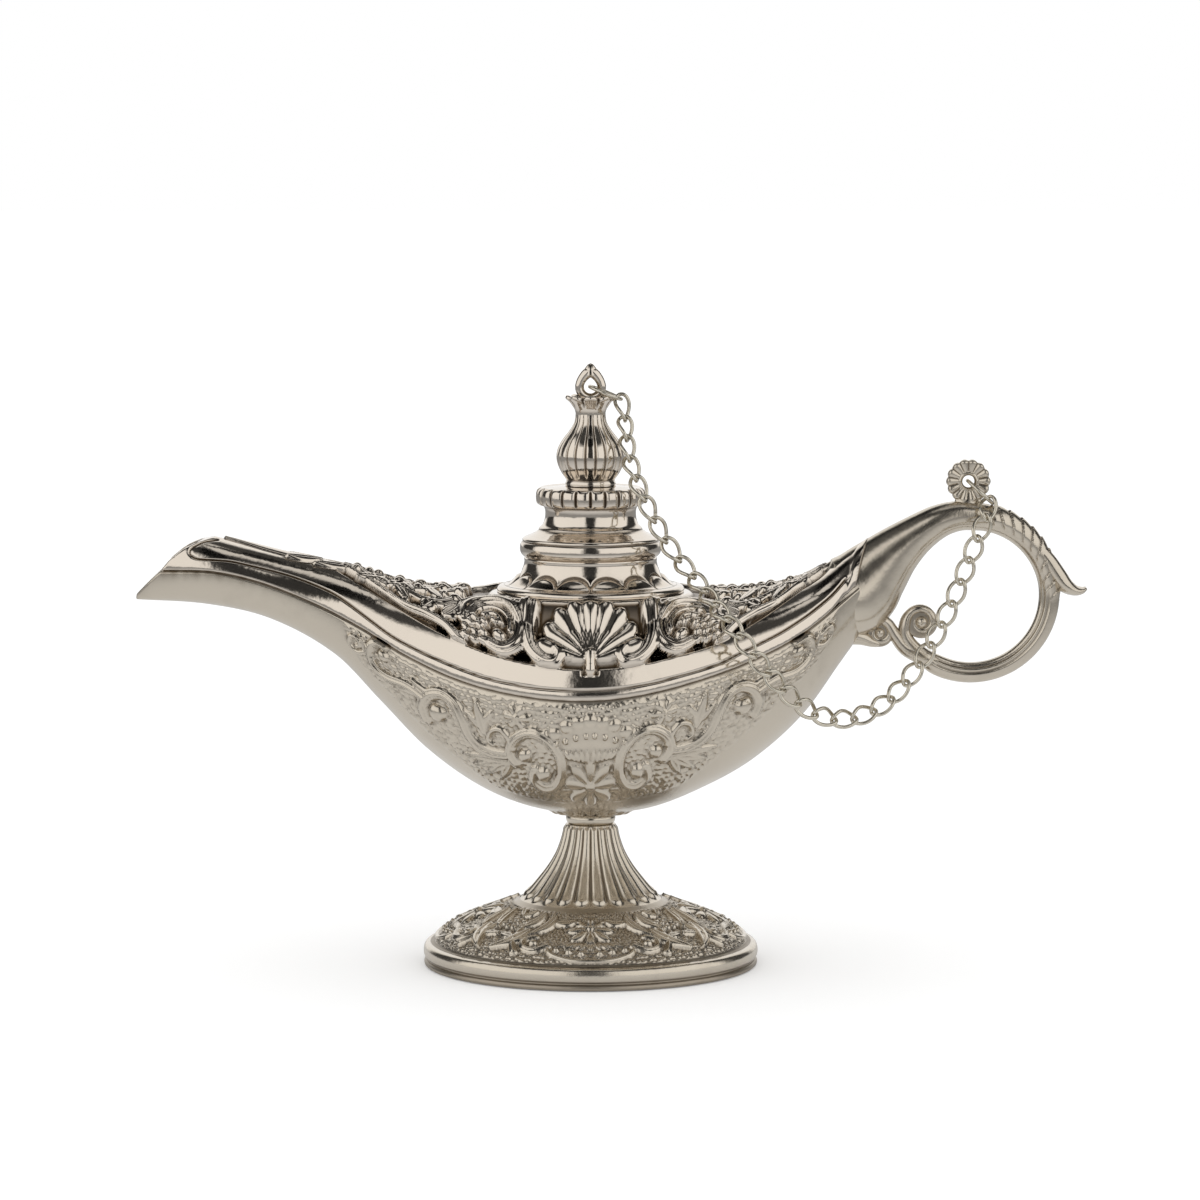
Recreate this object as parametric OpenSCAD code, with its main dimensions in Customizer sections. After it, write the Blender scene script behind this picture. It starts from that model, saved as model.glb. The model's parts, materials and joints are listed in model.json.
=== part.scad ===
// Genie oil lamp: a boat shaped bowl with a spout and a ring handle, on a
// footed stem, with a pierced cover, a lift-off lid and a safety chain that
// runs from the lid's finial to the rosette on the handle.
// Origin: centre of the foot on the table. +X runs to the handle, the spout
// is at -X, +Z is up. Millimetres.

/* [Body] */
// Distance from the stem's axis to the tip of the spout
spout_reach = 97; // [92:0.5:104]
// Distance from the stem's axis to the joint between body and handle
neck_reach = 57; // [55:0.5:60]
// Half of the body's greatest width, at the joint line
body_half_w = 31.5; // [28:0.5:35]
// Wall of the bowl and the cover
wall = 1.4; // [1:0.1:2]
// Height of the joint line where it dips lowest, amidships
joint_z = 60.1; // [58:0.1:62]
// Height of the seat that the cover gives to the collar
seat_z = 80; // [79:0.1:81]

/* [Foot] */
// Radius of the foot's rim
foot_r = 35.8; // [32:0.2:38]
// Height of the foot with its fluted stem
foot_h = 30; // [28:0.5:32]
// Wall of the foot's skirt
foot_wall = 1.6; // [1.2:0.1:2.4]
// Flutes around the stem
stem_flutes = 22; // [16:1:26]
// Radius of the knop between stem and bowl
knop_r = 5.3; // [5:0.1:6.5]
// Height of the knop
knop_h = 2.6; // [2:0.1:3.2]
// Radius of the screw that ties foot, knop and bowl together
screw_r = 2; // [1.5:0.1:2.2]

/* [Collar and lid] */
// Outer radius of the collar's base flange
collar_flange_r = 20; // [19:0.2:21]
// Radius of the collar's mouth
mouth_r = 11.5; // [10.5:0.1:12]
// Height of the collar above its seat
collar_h = 7.5; // [7:0.1:8.5]
// Scallops around the collar
collar_scallops = 14; // [10:1:18]
// Radius of the lid's rim
lid_r = 15; // [14.4:0.1:16]
// Height of the lid without its finial
lid_h = 15; // [14:0.5:16]
// Beads around the lid
lid_beads = 22; // [18:1:26]
// Largest radius of the finial's bulb
bulb_r = 7.25; // [6:0.05:8]
// Flutes around the bulb
bulb_flutes = 20; // [12:1:24]
// Height of the finial above the lid
finial_h = 26; // [25:0.5:28]

/* [Handle] */
// Distance from the stem's axis to the centre of the ring
ring_x = 81; // [80:0.2:83]
// Height of the centre of the ring
ring_z = 79.2; // [78:0.2:80]
// Radius of the ring to the middle of its bar
ring_r = 16.7; // [16:0.1:17.4]
// Thickness of the ring's bar
ring_bar = 4.4; // [3.8:0.1:5]
// Radius of the rosette on top of the ring
rosette_r = 4.7; // [4.2:0.1:5.4]
// Thickness of the rosette
rosette_t = 2.2; // [1.6:0.1:2.8]

/* [Chain] */
// Links between the two end rings
links = 32; // [30:1:34]
// Diameter of the chain's wire
wire_d = 0.8; // [0.7:0.05:0.9]
// Width of a link
link_w = 4.3; // [4:0.1:4.6]
// Play between two links along the chain
link_play = 0.3; // [0.2:0.05:0.4]
// Radius of the end rings, to the middle of the wire
end_ring_r = 3.6; // [3.5:0.05:3.8]

/* [Hidden] */
// Clearance between the lid's spigot and the mouth
lid_gap = 0.3;
// Clearance between parts that are pushed together and stay put
seat_gap = 0.15;
// Facets of turned parts that are drawn smooth
$fn = 64;

stem_top = foot_h;
bowl_z = foot_h + knop_h;
collar_top = seat_z + collar_h;
lid_top = collar_top + lid_h;
finial_top = lid_top + finial_h;
eye_drop = 5;
eye_z = finial_top - eye_drop;
rosette_x = ring_x - 0.7;
rosette_z = ring_z + ring_r + 7.5;

// Smooth curve through points, for one x, with the slopes of a cubic spline
function slope(p, i) =
    let (a = max(i - 1, 0), b = min(i + 1, len(p) - 1)) (p[b][1] - p[a][1]) / (p[b][0] - p[a][0]);
function seg(p, x, i = 0) = (i >= len(p) - 2 || x < p[i + 1][0]) ? i : seg(p, x, i + 1);
function curve(p, x) =
    let (i = seg(p, x), d = p[i + 1][0] - p[i][0], t = (x - p[i][0]) / d)
    let (a = p[i][1], b = p[i + 1][1], m = slope(p, i) * d, n = slope(p, i + 1) * d)
    (2 * t ^ 3 - 3 * t ^ 2 + 1) * a + (t ^ 3 - 2 * t ^ 2 + t) * m
    + (3 * t ^ 2 - 2 * t ^ 3) * b + (t ^ 3 - t ^ 2) * n;

// Lengthwise lines of the body, as [x, height] or [x, half width]
sr = spout_reach;
nr = neck_reach;
keel_line = [
    [-sr, 78.2], [-0.84 * sr, 77.2], [-0.7 * sr, 74], [-0.56 * sr, 66.4], [-0.46 * sr, 56.4],
    [-0.36 * sr, 46.4], [-0.24 * sr, 38.2], [-0.12 * sr, bowl_z + 1.1], [0, bowl_z],
    [0.22 * nr, bowl_z + 1.1], [0.44 * nr, 38.6], [0.62 * nr, 44.6], [0.8 * nr, 54],
    [0.94 * nr, 65.2], [nr, 70]
];
joint_line = [
    [-sr, 84.3], [-0.92 * sr, 84.8], [-0.82 * sr, 84.6], [-0.72 * sr, 82.4], [-0.6 * sr, 77.9],
    [-0.5 * sr, 73.1], [-0.4 * sr, 67.7], [-0.28 * sr, 63.2], [-0.14 * sr, joint_z + 0.6],
    [0, joint_z], [0.2 * nr, joint_z + 1.2], [0.42 * nr, 64.2], [0.62 * nr, 67.9],
    [0.8 * nr, 72.7], [nr, 81.4]
];
ridge_line = [
    [-sr, 94.5], [-0.9 * sr, 93.2], [-0.82 * sr, 91.6], [-0.68 * sr, 88.2], [-0.54 * sr, 85],
    [-0.42 * sr, 81.6], [-0.3 * sr, seat_z], [0, seat_z + 0.6], [0.5 * nr, seat_z - 0.4],
    [0.7 * nr, 80.8], [0.84 * nr, 83.6], [nr, 89.6]
];
width_line = [
    [-sr, 1.8], [-0.96 * sr, 4.4], [-0.9 * sr, 6.4], [-0.8 * sr, 7.6], [-0.66 * sr, 8],
    [-0.54 * sr, 9.8], [-0.42 * sr, 14.6], [-0.32 * sr, 20.2], [-0.22 * sr, 25.8],
    [-0.1 * sr, body_half_w - 1.2], [0, body_half_w], [0.24 * nr, body_half_w - 1.8],
    [0.5 * nr, 24.4], [0.7 * nr, 17.6], [0.86 * nr, 11.2], [nr, 6.6]
];
// Fullness of the cover's cross section: 2 is an ellipse
function fullness(x) = 2 + 0.35 * max(0, 1 - abs(x) / 45);
function power(v, n) = sign(v) * abs(v) ^ n;

// Stations along the body, closer together towards the two ends
body_stations = [
    for (i = [0:7]) -sr + 1.6 * i,
    for (i = [1:16]) let (a = -sr + 11.2) a + (nr - 9 - a) * i / 16,
    for (i = [1:4]) nr - 9 + 9 * i / 4
];
arc_steps = 8;

function reverse_row(r) = [for (i = [len(r) - 1:-1:0]) r[i]];
// One line of points across the bowl from joint to joint, inset by a wall t
function bowl_arc(x, t) =
    let (z0 = curve(keel_line, x) + t, z1 = curve(joint_line, x), w = curve(width_line, x) - t)
    [for (j = [-arc_steps:arc_steps])
        let (a = 90 * j / arc_steps)
        [x, w * sin(a), z1 - (z1 - z0) * cos(a)]];
// The same across the cover
function cover_arc(x, t) =
    let (z0 = curve(joint_line, x), z1 = curve(ridge_line, x) - t, w = curve(width_line, x) - t)
    let (n = 2 / fullness(x))
    [for (j = [-arc_steps:arc_steps])
        let (a = 90 * j / arc_steps)
        [x, w * power(sin(a), n), z0 + (z1 - z0) * power(cos(a), n)]];

// Triangles of a quad strip between two rows of indices
function strip(a, b, c, d) = [[a, b, c], [a, c, d]];

// Open shell between an outer and an inner grid of points, closed along its edges
module shell(outer, inner) {
    n = len(outer);
    m = len(outer[0]);
    pts = [for (r = outer) each r, for (r = inner) each r];
    k = n * m;
    function o(i, j) = i * m + j;
    function q(i, j) = k + i * m + j;
    faces = [
        for (i = [0:n - 2], j = [0:m - 2])
            each strip(o(i, j), o(i, j + 1), o(i + 1, j + 1), o(i + 1, j)),
        for (i = [0:n - 2], j = [0:m - 2])
            each strip(q(i, j), q(i + 1, j), q(i + 1, j + 1), q(i, j + 1)),
        for (i = [0:n - 2]) each strip(o(i, 0), o(i + 1, 0), q(i + 1, 0), q(i, 0)),
        for (i = [0:n - 2]) each strip(o(i + 1, m - 1), o(i, m - 1), q(i, m - 1), q(i + 1, m - 1)),
        for (j = [0:m - 2]) each strip(o(0, j + 1), o(0, j), q(0, j), q(0, j + 1)),
        for (j = [0:m - 2]) each strip(o(n - 1, j), o(n - 1, j + 1), q(n - 1, j + 1), q(n - 1, j))
    ];
    polyhedron(pts, faces);
}

function middle(row) = [for (p = row) 1] * row / len(row);
// Closed solid through rings of points
module skin(rings) {
    n = len(rings);
    m = len(rings[0]);
    pts = [for (r = rings) each r, middle(rings[0]), middle(rings[n - 1])];
    faces = [
        for (i = [0:n - 2], j = [0:m - 1])
            each strip(i * m + j, i * m + (j + 1) % m, (i + 1) * m + (j + 1) % m, (i + 1) * m + j),
        for (j = [0:m - 1]) [n * m, (j + 1) % m, j],
        for (j = [0:m - 1]) [n * m + 1, (n - 1) * m + j, (n - 1) * m + (j + 1) % m]
    ];
    polyhedron(pts, faces);
}

// Side outline of what is cut away to open the spout's mouth
module mouth_cut() {
    rotate([90, 0, 0]) linear_extrude(height = 40, center = true) polygon([
        [-sr - 1, 79], [-sr + 0.3, 79], [-sr + 3, 81.8], [-sr + 6, 84.6], [-sr + 8, 87],
        [-sr + 11, 89.4], [-sr + 14, 90.9], [-sr + 17.4, 91.7], [-sr + 17.4, 100], [-sr - 1, 100]
    ]);
}

// Boss under the bowl that the foot's screw threads into
boss_r = 6.2;
boss_h = 8;
module bowl() {
    color([0.74, 0.70, 0.62])
    difference() {
        union() {
            shell([for (x = body_stations) reverse_row(bowl_arc(x, 0))],
                  [for (x = body_stations) reverse_row(bowl_arc(x, wall))]);
            translate([0, 0, bowl_z]) cylinder(r = boss_r, h = boss_h);
        }
        translate([0, 0, bowl_z - 1]) cylinder(r = screw_r + seat_gap, h = boss_h);
        mouth_cut();
    }
}

// Openings of the cover's scrollwork: [x, z, radius] at both ends of each slot
slots = [
    [[2.3, 66.6, 0.8], [5, 68.2, 0.9]],
    [[10, 67.2, 0.9], [13.4, 68.6, 1]],
    [[8, 76, 0.7], [9, 78, 0.7]],
    [[15.4, 72.4, 1.3], [16.4, 75.4, 1.3]],
    [[23.4, 71, 1.4], [27.4, 73.4, 0.9]],
    [[30.5, 76.4, 0.8], [34, 76.8, 0.7]]
];
throat_r = mouth_r + 1.2;
module cover() {
    platform_r = collar_flange_r + 1;
    color([0.86, 0.83, 0.78])
    difference() {
        union() {
            shell([for (x = body_stations) cover_arc(x, 0)], [for (x = body_stations) cover_arc(x, wall)]);
            rotate_extrude() polygon([
                [throat_r, seat_z - 3], [platform_r + 1, seat_z - 5], [platform_r, seat_z], [throat_r, seat_z]
            ]);
        }
        translate([0, 0, seat_z - 6]) cylinder(r = throat_r, h = 10);
        translate([0, 0, seat_z]) cylinder(r = collar_flange_r + seat_gap, h = 10);
        mouth_cut();
        for (side = [0, 1], s = slots)
            mirror([side, 0, 0]) rotate([90, 0, 0])
                linear_extrude(height = 3 * body_half_w, center = true) polygon(slot_outline(s[0], s[1]));
    }
}
// Outline of a slot with two round ends of their own radius
function slot_outline(a, b) =
    let (run = atan2(b[1] - a[1], b[0] - a[0]))
    [for (e = [[a, 90], [b, -90]], k = [0:6])
        let (t = run + e[1] + 30 * k)
        [e[0][0] + e[0][2] * cos(t), e[0][1] + e[0][2] * sin(t)]];

// Ring of the collar with its flange, scallops and throat
module collar() {
    cone_r = mouth_r + 5;
    color([0.86, 0.83, 0.78])
    union() {
        translate([0, 0, seat_z]) rotate_extrude() polygon([
            [mouth_r, -3], [throat_r - seat_gap, -3], [throat_r - seat_gap, 0], [collar_flange_r, 0],
            [collar_flange_r, 1.2], [collar_flange_r - 0.6, 1.8], [cone_r + 0.2, 1.8],
            [cone_r - 0.6, 3.4], [lid_r - 0.4, 5.6], [lid_r - 0.8, collar_h], [mouth_r, collar_h]
        ]);
        for (i = [0:collar_scallops - 1])
            rotate([0, 0, 360 * i / collar_scallops])
                translate([mouth_r + 2, 0, seat_z + 1]) rotate([90, 0, 90])
                    linear_extrude(height = 4) polygon(scallop_outline(3.5, 3));
    }
}
function scallop_outline(w, h) = [for (k = [0:10]) [w * cos(18 * k), h * sin(18 * k)]];

// Lid turned hollow, with a spigot that drops into the collar's mouth. Its top is flat under the nut.
lid_top_wall = 1.6;
nut_r = 3.2;
nut_h = 2;
stud_r = 1.5;
module lid() {
    bead_r = PI * 11.2 / lid_beads;
    spigot_r = mouth_r - lid_gap;
    color([0.88, 0.85, 0.80])
    union() {
        translate([0, 0, collar_top]) rotate_extrude() polygon([
            [spigot_r - 1.4, -4], [spigot_r, -4], [spigot_r, 0], [lid_r - 0.8, 0],
            [lid_r - 0.2, 0.7], [lid_r, 1.8], [lid_r - 0.2, 2.9], [lid_r - 0.8, 3.6],
            [12.2, 4.7], [10.5, 6], [9.8, 7.6], [9.8, 9.4], [10.6, 10.6], [11.4, 11.2],
            [11.4, 15.2], [10.6, lid_h], [stud_r + 0.2, lid_h], [stud_r + 0.2, lid_h - lid_top_wall],
            [nut_r + 1.6, lid_h - lid_top_wall], [9.6, lid_h - lid_top_wall - 0.3],
            [8.2, 10.6], [8.2, 7.4], [9.4, 4.8], [spigot_r - 1.4, 2.4]
        ]);
        for (i = [0:lid_beads - 1])
            rotate([0, 0, 360 * i / lid_beads]) translate([11.2, 0, collar_top + 12.4]) {
                sphere(r = bead_r, $fn = 24);
                cylinder(r = bead_r, h = 1.6, $fn = 24);
                translate([0, 0, 1.6]) sphere(r = bead_r, $fn = 24);
            }
    }
}

// Fluted turning: profile is [radius, height, depth of the flutes]
module fluted(profile, flutes, steps) {
    n = flutes * steps;
    skin([for (p = profile)
        [for (i = [0:n - 1])
            let (a = -360 * i / n, r = p[0] - p[2] * (1 - abs(sin(a * flutes / 2))))
            [r * cos(a), r * sin(a), p[1]]]]);
}

// Finial: fluted bulb, petal crown and the eye that holds the chain's ring
eye_r = 3.3;
eye_t = 2.2;
eye_hole_r = 1.4;
// Outline of the eye: round below, drawn out to the finial's tip above
function eye_outline(tip) = [for (a = [-220:10:40]) eye_r * [cos(a), sin(a)], [0.5, tip], [-0.5, tip]];
module finial() {
    color([0.88, 0.85, 0.80])
    translate([0, 0, lid_top])
    difference() {
        union() {
            translate([0, 0, -lid_top_wall - nut_h - 1]) cylinder(r = stud_r, h = lid_top_wall + nut_h + 1.4);
            cylinder(r = bulb_r - 2.3, h = 1.4);
            fluted([
                [bulb_r - 1.9, 1.2, 0.1], [bulb_r - 0.9, 2.8, 0.35], [bulb_r - 0.1, 4.6, 0.5],
                [bulb_r, 6.3, 0.55], [bulb_r - 0.4, 8.2, 0.5], [bulb_r - 1.5, 10.2, 0.4],
                [bulb_r - 3, 12.2, 0.25], [bulb_r - 3.9, 14.2, 0.1]
            ], bulb_flutes, 4);
            translate([0, 0, 13.6]) rotate_extrude() polygon([
                [0, 0], [2.9, 0], [2.9, 1.4], [3.3, 2], [3.9, 3], [4.7, 3.6], [4.7, 4.8], [3.6, 5.6], [0, 5.6]
            ]);
            translate([0, 0, finial_h - eye_drop]) rotate([90, 0, 0])
                linear_extrude(height = eye_t, center = true) polygon(eye_outline(eye_drop));
        }
        translate([0, 0, finial_h - eye_drop]) rotate([90, 0, 0])
            cylinder(r = eye_hole_r, h = 3 * eye_t, center = true);
    }
}

// Nut under the lid that holds the finial
module finial_nut() {
    color([0.80, 0.72, 0.50])
    translate([0, 0, lid_top - lid_top_wall - nut_h]) difference() {
        cylinder(r = nut_r, h = nut_h, $fn = 6);
        translate([0, 0, -1]) cylinder(r = stud_r + 0.05, h = nut_h + 2);
    }
}

// Knop between the stem and the bowl
module knop() {
    color([0.74, 0.70, 0.62])
    translate([0, 0, stem_top]) rotate_extrude() polygon([
        [screw_r + seat_gap, 0], [knop_r - 0.6, 0], [knop_r - 0.1, 0.5], [knop_r, knop_h / 2],
        [knop_r - 0.1, knop_h - 0.5], [knop_r - 0.6, knop_h], [screw_r + seat_gap, knop_h]
    ]);
}

// Foot: rim, domed skirt and hollow fluted stem
stem_z = 13.6;
skirt = [[33.4, 5.1], [31.2, 7.1], [27.6, 8.8], [22.5, 10.4], [18.2, 11.9], [14.6, stem_z]];
module foot() {
    cavity_r = 4;
    rim_h = 4.5;
    color([0.76, 0.72, 0.65])
    difference() {
        union() {
            rotate_extrude() polygon([
                [0, 9], [16, 9.4], [27, 6.6], [foot_r - 3, 2.4], [foot_r - 3, 0], [foot_r, 0],
                [foot_r, rim_h - 0.9], [foot_r - 0.8, rim_h], each skirt, [0, stem_z]
            ]);
            fluted([
                [13.7, stem_z, 0.4], [12.3, 15.7, 0.8], [10.4, 18.3, 0.8], [8.6, 20.9, 0.7],
                [7, 23.6, 0.5], [5.9, 26.6, 0.4], [5.2, foot_h - 0.6, 0.2], [5, foot_h, 0.1]
            ], stem_flutes, 4);
        }
        translate([0, 0, -1]) cylinder(r = cavity_r, h = foot_h - 2 - foot_wall);
        translate([0, 0, -1]) cylinder(r = screw_r + seat_gap, h = foot_h + 2);
    }
}

screw_seat = foot_h - 3 - foot_wall;
// Washer and screw inside the stem
module foot_washer() {
    color([0.80, 0.72, 0.50])
    translate([0, 0, screw_seat - 0.8]) difference() {
        cylinder(r = 3.7, h = 0.8);
        translate([0, 0, -1]) cylinder(r = screw_r + seat_gap, h = 3);
    }
}
module foot_screw() {
    color([0.72, 0.72, 0.72])
    translate([0, 0, screw_seat - 0.8]) difference() {
        union() {
            translate([0, 0, -2.4]) cylinder(r = 3.4, h = 2.4);
            cylinder(r = screw_r, h = bowl_z + boss_h - 2 - screw_seat);
        }
        translate([0, 0, -3]) cube([5, 0.9, 2.4], center = true);
    }
}

// Ring of points of a bar: centre, half height in the XZ plane, half width in Y
// and the angle of the bar's run
bar_sides = 12;
function bar_ring(c, hh, hw, run) =
    [for (j = [0:bar_sides - 1])
        let (a = 360 * j / bar_sides, u = hh * cos(a))
        [c[0] - u * sin(run), hw * sin(a), c[1] + u * cos(run)]];

// The neck, then the ring round to its lower left
neck_path = [
    [[nr - 6.5, 75.6], 6, 3.4, 0], [[nr, 79.8], 6.8, 4.3, 0], [[nr + 0.01, 79.8], 9.5, 6.3, 0],
    [[nr + 2.8, 83.2], 8, 5.6, 1.5], [[nr + 6, 86.9], 6.2, 4.9, 5.5], [[nr + 10, 91.1], 4.6, 4.1, 10],
    [[nr + 14.3, 94.5], 3.7, 3.6, 14], [[nr + 18.6, 96.4], 3.3, 3.3, 12]
];
function ring_pt(a) = [ring_x + ring_r * cos(a), ring_z + ring_r * sin(a)];
module handle() {
    ring_from = 92;
    ring_to = -142;
    color([0.80, 0.77, 0.71])
    difference() {
        union() {
            skin([
                for (p = neck_path) bar_ring(p[0], p[1], p[2], p[3]),
                for (i = [0:24])
                    let (t = i / 24, a = ring_from + (ring_to - ring_from) * t)
                    let (h = ring_bar / 2 + 0.7 * max(0, 1 - t * 3.2))
                    bar_ring(ring_pt(a), h, h, a - 90)
            ]);
            scrolls();
            thumb_rest();
            translate([rosette_x, 0, rosette_z]) rotate([90, 0, 0])
                cylinder(r = rosette_r, h = rosette_t, center = true);
            translate([rosette_x, 0, rosette_z - 5.4]) rotate([90, 0, 0])
                cylinder(r = 3.2, h = rosette_t, center = true);
        }
        translate([rosette_x, 0, rosette_z]) rotate([90, 0, 0])
            cylinder(r = 1.3, h = 4 * rosette_t, center = true);
    }
}

// Two volutes that brace the ring against the neck
module volute(x, z, r, from, turns, bar) {
    n = round(14 * abs(turns));
    skin([for (i = [0:n])
        let (t = i / n, a = from + 360 * turns * t, q = r * (1 - 0.62 * t))
        bar_ring([x + q * cos(a), z + q * sin(a)], bar * (1 - 0.35 * t), bar * (1 - 0.2 * t),
            a + 90 * sign(turns))]);
    translate([x, 0, z]) sphere(r = 0.4 * r + 0.3, $fn = 32);
}
module scrolls() {
    skin([for (p = [
        [ring_pt(-128), 2, -218], [ring_pt(-142), 1.9, -228], [[ring_x - 15.4, ring_z - 8.5], 1.6, -226],
        [[ring_x - 17.6, ring_z - 5.8], 1.5, -234], [[ring_x - 20, ring_z - 2.8], 1.8, -220],
        [[ring_x - 24, ring_z - 0.4], 2.4, -205]
    ]) bar_ring(p[0], p[1], p[1], p[2])]);
    volute(ring_x - 10, ring_z - 6.2, 2.9, 225, -1.15, 0.85);
    volute(ring_x - 19.6, ring_z - 8.4, 1.9, 30, 1.1, 0.75);
}

// Leaf that stands off the ring as a rest for the thumb
module thumb_rest() {
    skin([for (p = [
        [[ring_x + 11.4, ring_z + 12.3], 1.6, 2, -50], [[ring_x + 16.4, ring_z + 7.4], 2, 2.6, -50],
        [[ring_x + 18.8, ring_z + 3.2], 1.9, 3, -52], [[ring_x + 21.4, ring_z + 0.9], 1.5, 3.2, -28],
        [[ring_x + 23.6, ring_z + 0.8], 0.9, 2.6, 0], [[ring_x + 24.8, ring_z + 1.6], 0.4, 1.4, 30]
    ]) bar_ring(p[0], p[1], p[2], p[3])]);
}

// Route of the chain, from the ring on the finial to the ring on the rosette
finial_ring_run = -22;
rosette_ring_run = -42;
ring_drop = end_ring_r - 0.2;
chain_route = [
    [6.46, 0.2, 121.42], [7.2, -1.6, 117.1], [7.6, -5, 112.5], [8.4, -8, 107.6], [10.2, -11, 103],
    [12.2, -12, 98.6], [14.5, -11.4, 94], [17, -11.8, 89.9], [19.6, -13, 86.6], [22.8, -16.4, 83],
    [25.8, -21.6, 79.4], [29, -26, 75.8], [31.8, -28.4, 72.2], [34.4, -28.8, 68.8], [37.2, -28.2, 65.4],
    [40.4, -26.8, 61.8], [43.6, -24.8, 58.8], [47.4, -22.4, 56.2], [52, -19.6, 54.8], [57, -16.8, 55.2],
    [62.2, -13.8, 57.6], [66.4, -11.2, 61.4], [69.8, -9.2, 65.8], [72.4, -7.8, 70], [74.8, -6.7, 74.4],
    [77, -6, 78.8], [78.8, -5.8, 83.4], [80.6, -6.2, 88.2], [82.2, -6.6, 92.6], [83.7, -5.6, 96.4],
    [84.6, -2.5, 99.9]
];
// Points of a smooth curve through the route
function blend(a, b, c, d, t) =
    0.5 * (2 * b + (c - a) * t + (2 * a - 5 * b + 4 * c - d) * t ^ 2 + (3 * b - a - 3 * c + d) * t ^ 3);
route_n = len(chain_route) - 1;
route = [
    for (i = [0:route_n - 1], k = [0:5])
        blend(chain_route[max(i - 1, 0)], chain_route[i], chain_route[i + 1],
            chain_route[min(i + 2, route_n)], k / 6),
    chain_route[route_n]
];
travel = [for (i = 0, s = 0; i < len(route); s = s + (i + 1 < len(route) ? norm(route[i + 1] - route[i]) : 0),
    i = i + 1) s];
route_length = travel[len(travel) - 1];
pitch = route_length / links;
// Point of the route at a distance s from its start
function at(s, a = 0, b = len(travel) - 1) =
    b - a <= 1
    ? route[a] + (route[b] - route[a]) * (s - travel[a]) / (travel[b] - travel[a])
    : let (m = floor((a + b) / 2)) s < travel[m] ? at(s, a, m) : at(s, m, b);
function unit(v) = v / norm(v);

// Link i, counted from the finial: a wire oval twisted a quarter turn, so
// that its two ends stand square to each other
link_half = (pitch + wire_d + link_play) / 2;
wire_half_w = (link_w - wire_d) / 2;
// Slow turn of the whole chain, so that it meets both end rings square
chain_turn = -46;
module link(i) {
    a = at(max(0, (i - 1) * pitch));
    b = at(min(route_length, i * pitch));
    c = (a + b) / 2;
    t = unit(b - a);
    v = unit([0, 1, 0] - t[1] * t);
    u = cross(t, v);
    aim = 45 + chain_turn * (i - 1) / (links - 1);
    color([0.84, 0.82, 0.76])
    wire_loop([for (k = [0:link_rings - 1])
        let (g = 360 * k / link_rings, x = link_half * cos(g), w = wire_half_w * sin(g))
        let (f = aim + 45 * cos(g))
        [c + x * t + w * (cos(f) * u + sin(f) * v), -sin(f) * u + cos(f) * v]]);
}
link_rings = 14;
wire_sides = 6;
// Closed tube along a loop of [point, rough normal]
module wire_loop(loop) {
    n = len(loop);
    m = wire_sides;
    pts = [for (i = [0:n - 1])
        let (t = unit(loop[(i + 1) % n][0] - loop[(i + n - 1) % n][0]))
        let (e = unit(loop[i][1] - (loop[i][1] * t) * t), g = cross(t, e))
        for (k = [0:m - 1])
            loop[i][0] + wire_d / 2 * (cos(360 * k / m) * e + sin(360 * k / m) * g)];
    polyhedron(pts, [for (i = [0:n - 1], k = [0:m - 1])
        let (j = (i + 1) % n, q = (k + 1) % m)
        each strip(i * m + k, j * m + k, j * m + q, i * m + q)]);
}

// End rings: each hangs in its hole and leans out past the edge of its holder
module end_ring(hole, run) {
    color([0.84, 0.82, 0.76])
    translate([hole[0] + ring_drop * cos(run), 0, hole[1] + ring_drop * sin(run)])
        rotate([0, -run, 0]) rotate_extrude() translate([end_ring_r, 0]) circle(r = wire_d / 2, $fn = 24);
}
module finial_ring() end_ring([0, eye_z], finial_ring_run);
module rosette_ring() end_ring([rosette_x, rosette_z], rosette_ring_run);

function link_name(i) = str("link_", i < 10 ? "0" : "", i);

foot();
foot_screw();
foot_washer();
knop();
bowl();
cover();
collar();
lid();
finial();
finial_nut();
handle();
finial_ring();
rosette_ring();
for (i = [1:links]) link(i);
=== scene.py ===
import json
import math

import bmesh
import bpy
import numpy as np
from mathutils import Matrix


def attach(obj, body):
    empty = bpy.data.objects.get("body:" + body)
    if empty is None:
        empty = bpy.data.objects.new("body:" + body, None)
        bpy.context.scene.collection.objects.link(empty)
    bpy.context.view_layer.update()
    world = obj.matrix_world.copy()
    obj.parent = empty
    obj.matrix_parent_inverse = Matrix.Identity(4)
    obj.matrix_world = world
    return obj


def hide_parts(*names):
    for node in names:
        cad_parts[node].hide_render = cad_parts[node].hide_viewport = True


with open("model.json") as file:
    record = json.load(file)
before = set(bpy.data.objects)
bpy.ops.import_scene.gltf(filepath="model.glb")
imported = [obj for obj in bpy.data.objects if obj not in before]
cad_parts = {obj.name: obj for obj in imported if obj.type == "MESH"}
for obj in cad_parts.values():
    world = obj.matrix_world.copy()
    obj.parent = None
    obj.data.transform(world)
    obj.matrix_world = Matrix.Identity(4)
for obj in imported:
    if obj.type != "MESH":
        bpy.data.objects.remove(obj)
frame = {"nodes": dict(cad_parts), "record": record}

# Genie oil lamp in its CAD frame. Shapes are worked out in millimetres and
# scaled when a mesh is made. +X runs to the handle, the camera is at -Y.
MM = 0.001
TAU = 2 * math.pi
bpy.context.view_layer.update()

# Driving sizes, as in the part's source
SPOUT_REACH = 97
NECK_REACH = 57
BODY_HALF_W = 31.5
WALL = 1.4
JOINT_Z = 60.1
SEAT_Z = 80
FOOT_H = 30
STEM_FLUTES = 22
KNOP_H = 2.6
MOUTH_R = 11.5
COLLAR_H = 7.5
COLLAR_SCALLOPS = 14
LID_H = 15
LID_BEADS = 22
BULB_FLUTES = 20
FINIAL_H = 26
CROWN_PETALS = 8
RING_X = 81
RING_Z = 79.2
RING_R = 16.7
RING_BAR = 4.4
RING_FROM = 84
RING_TO = -140
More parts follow.
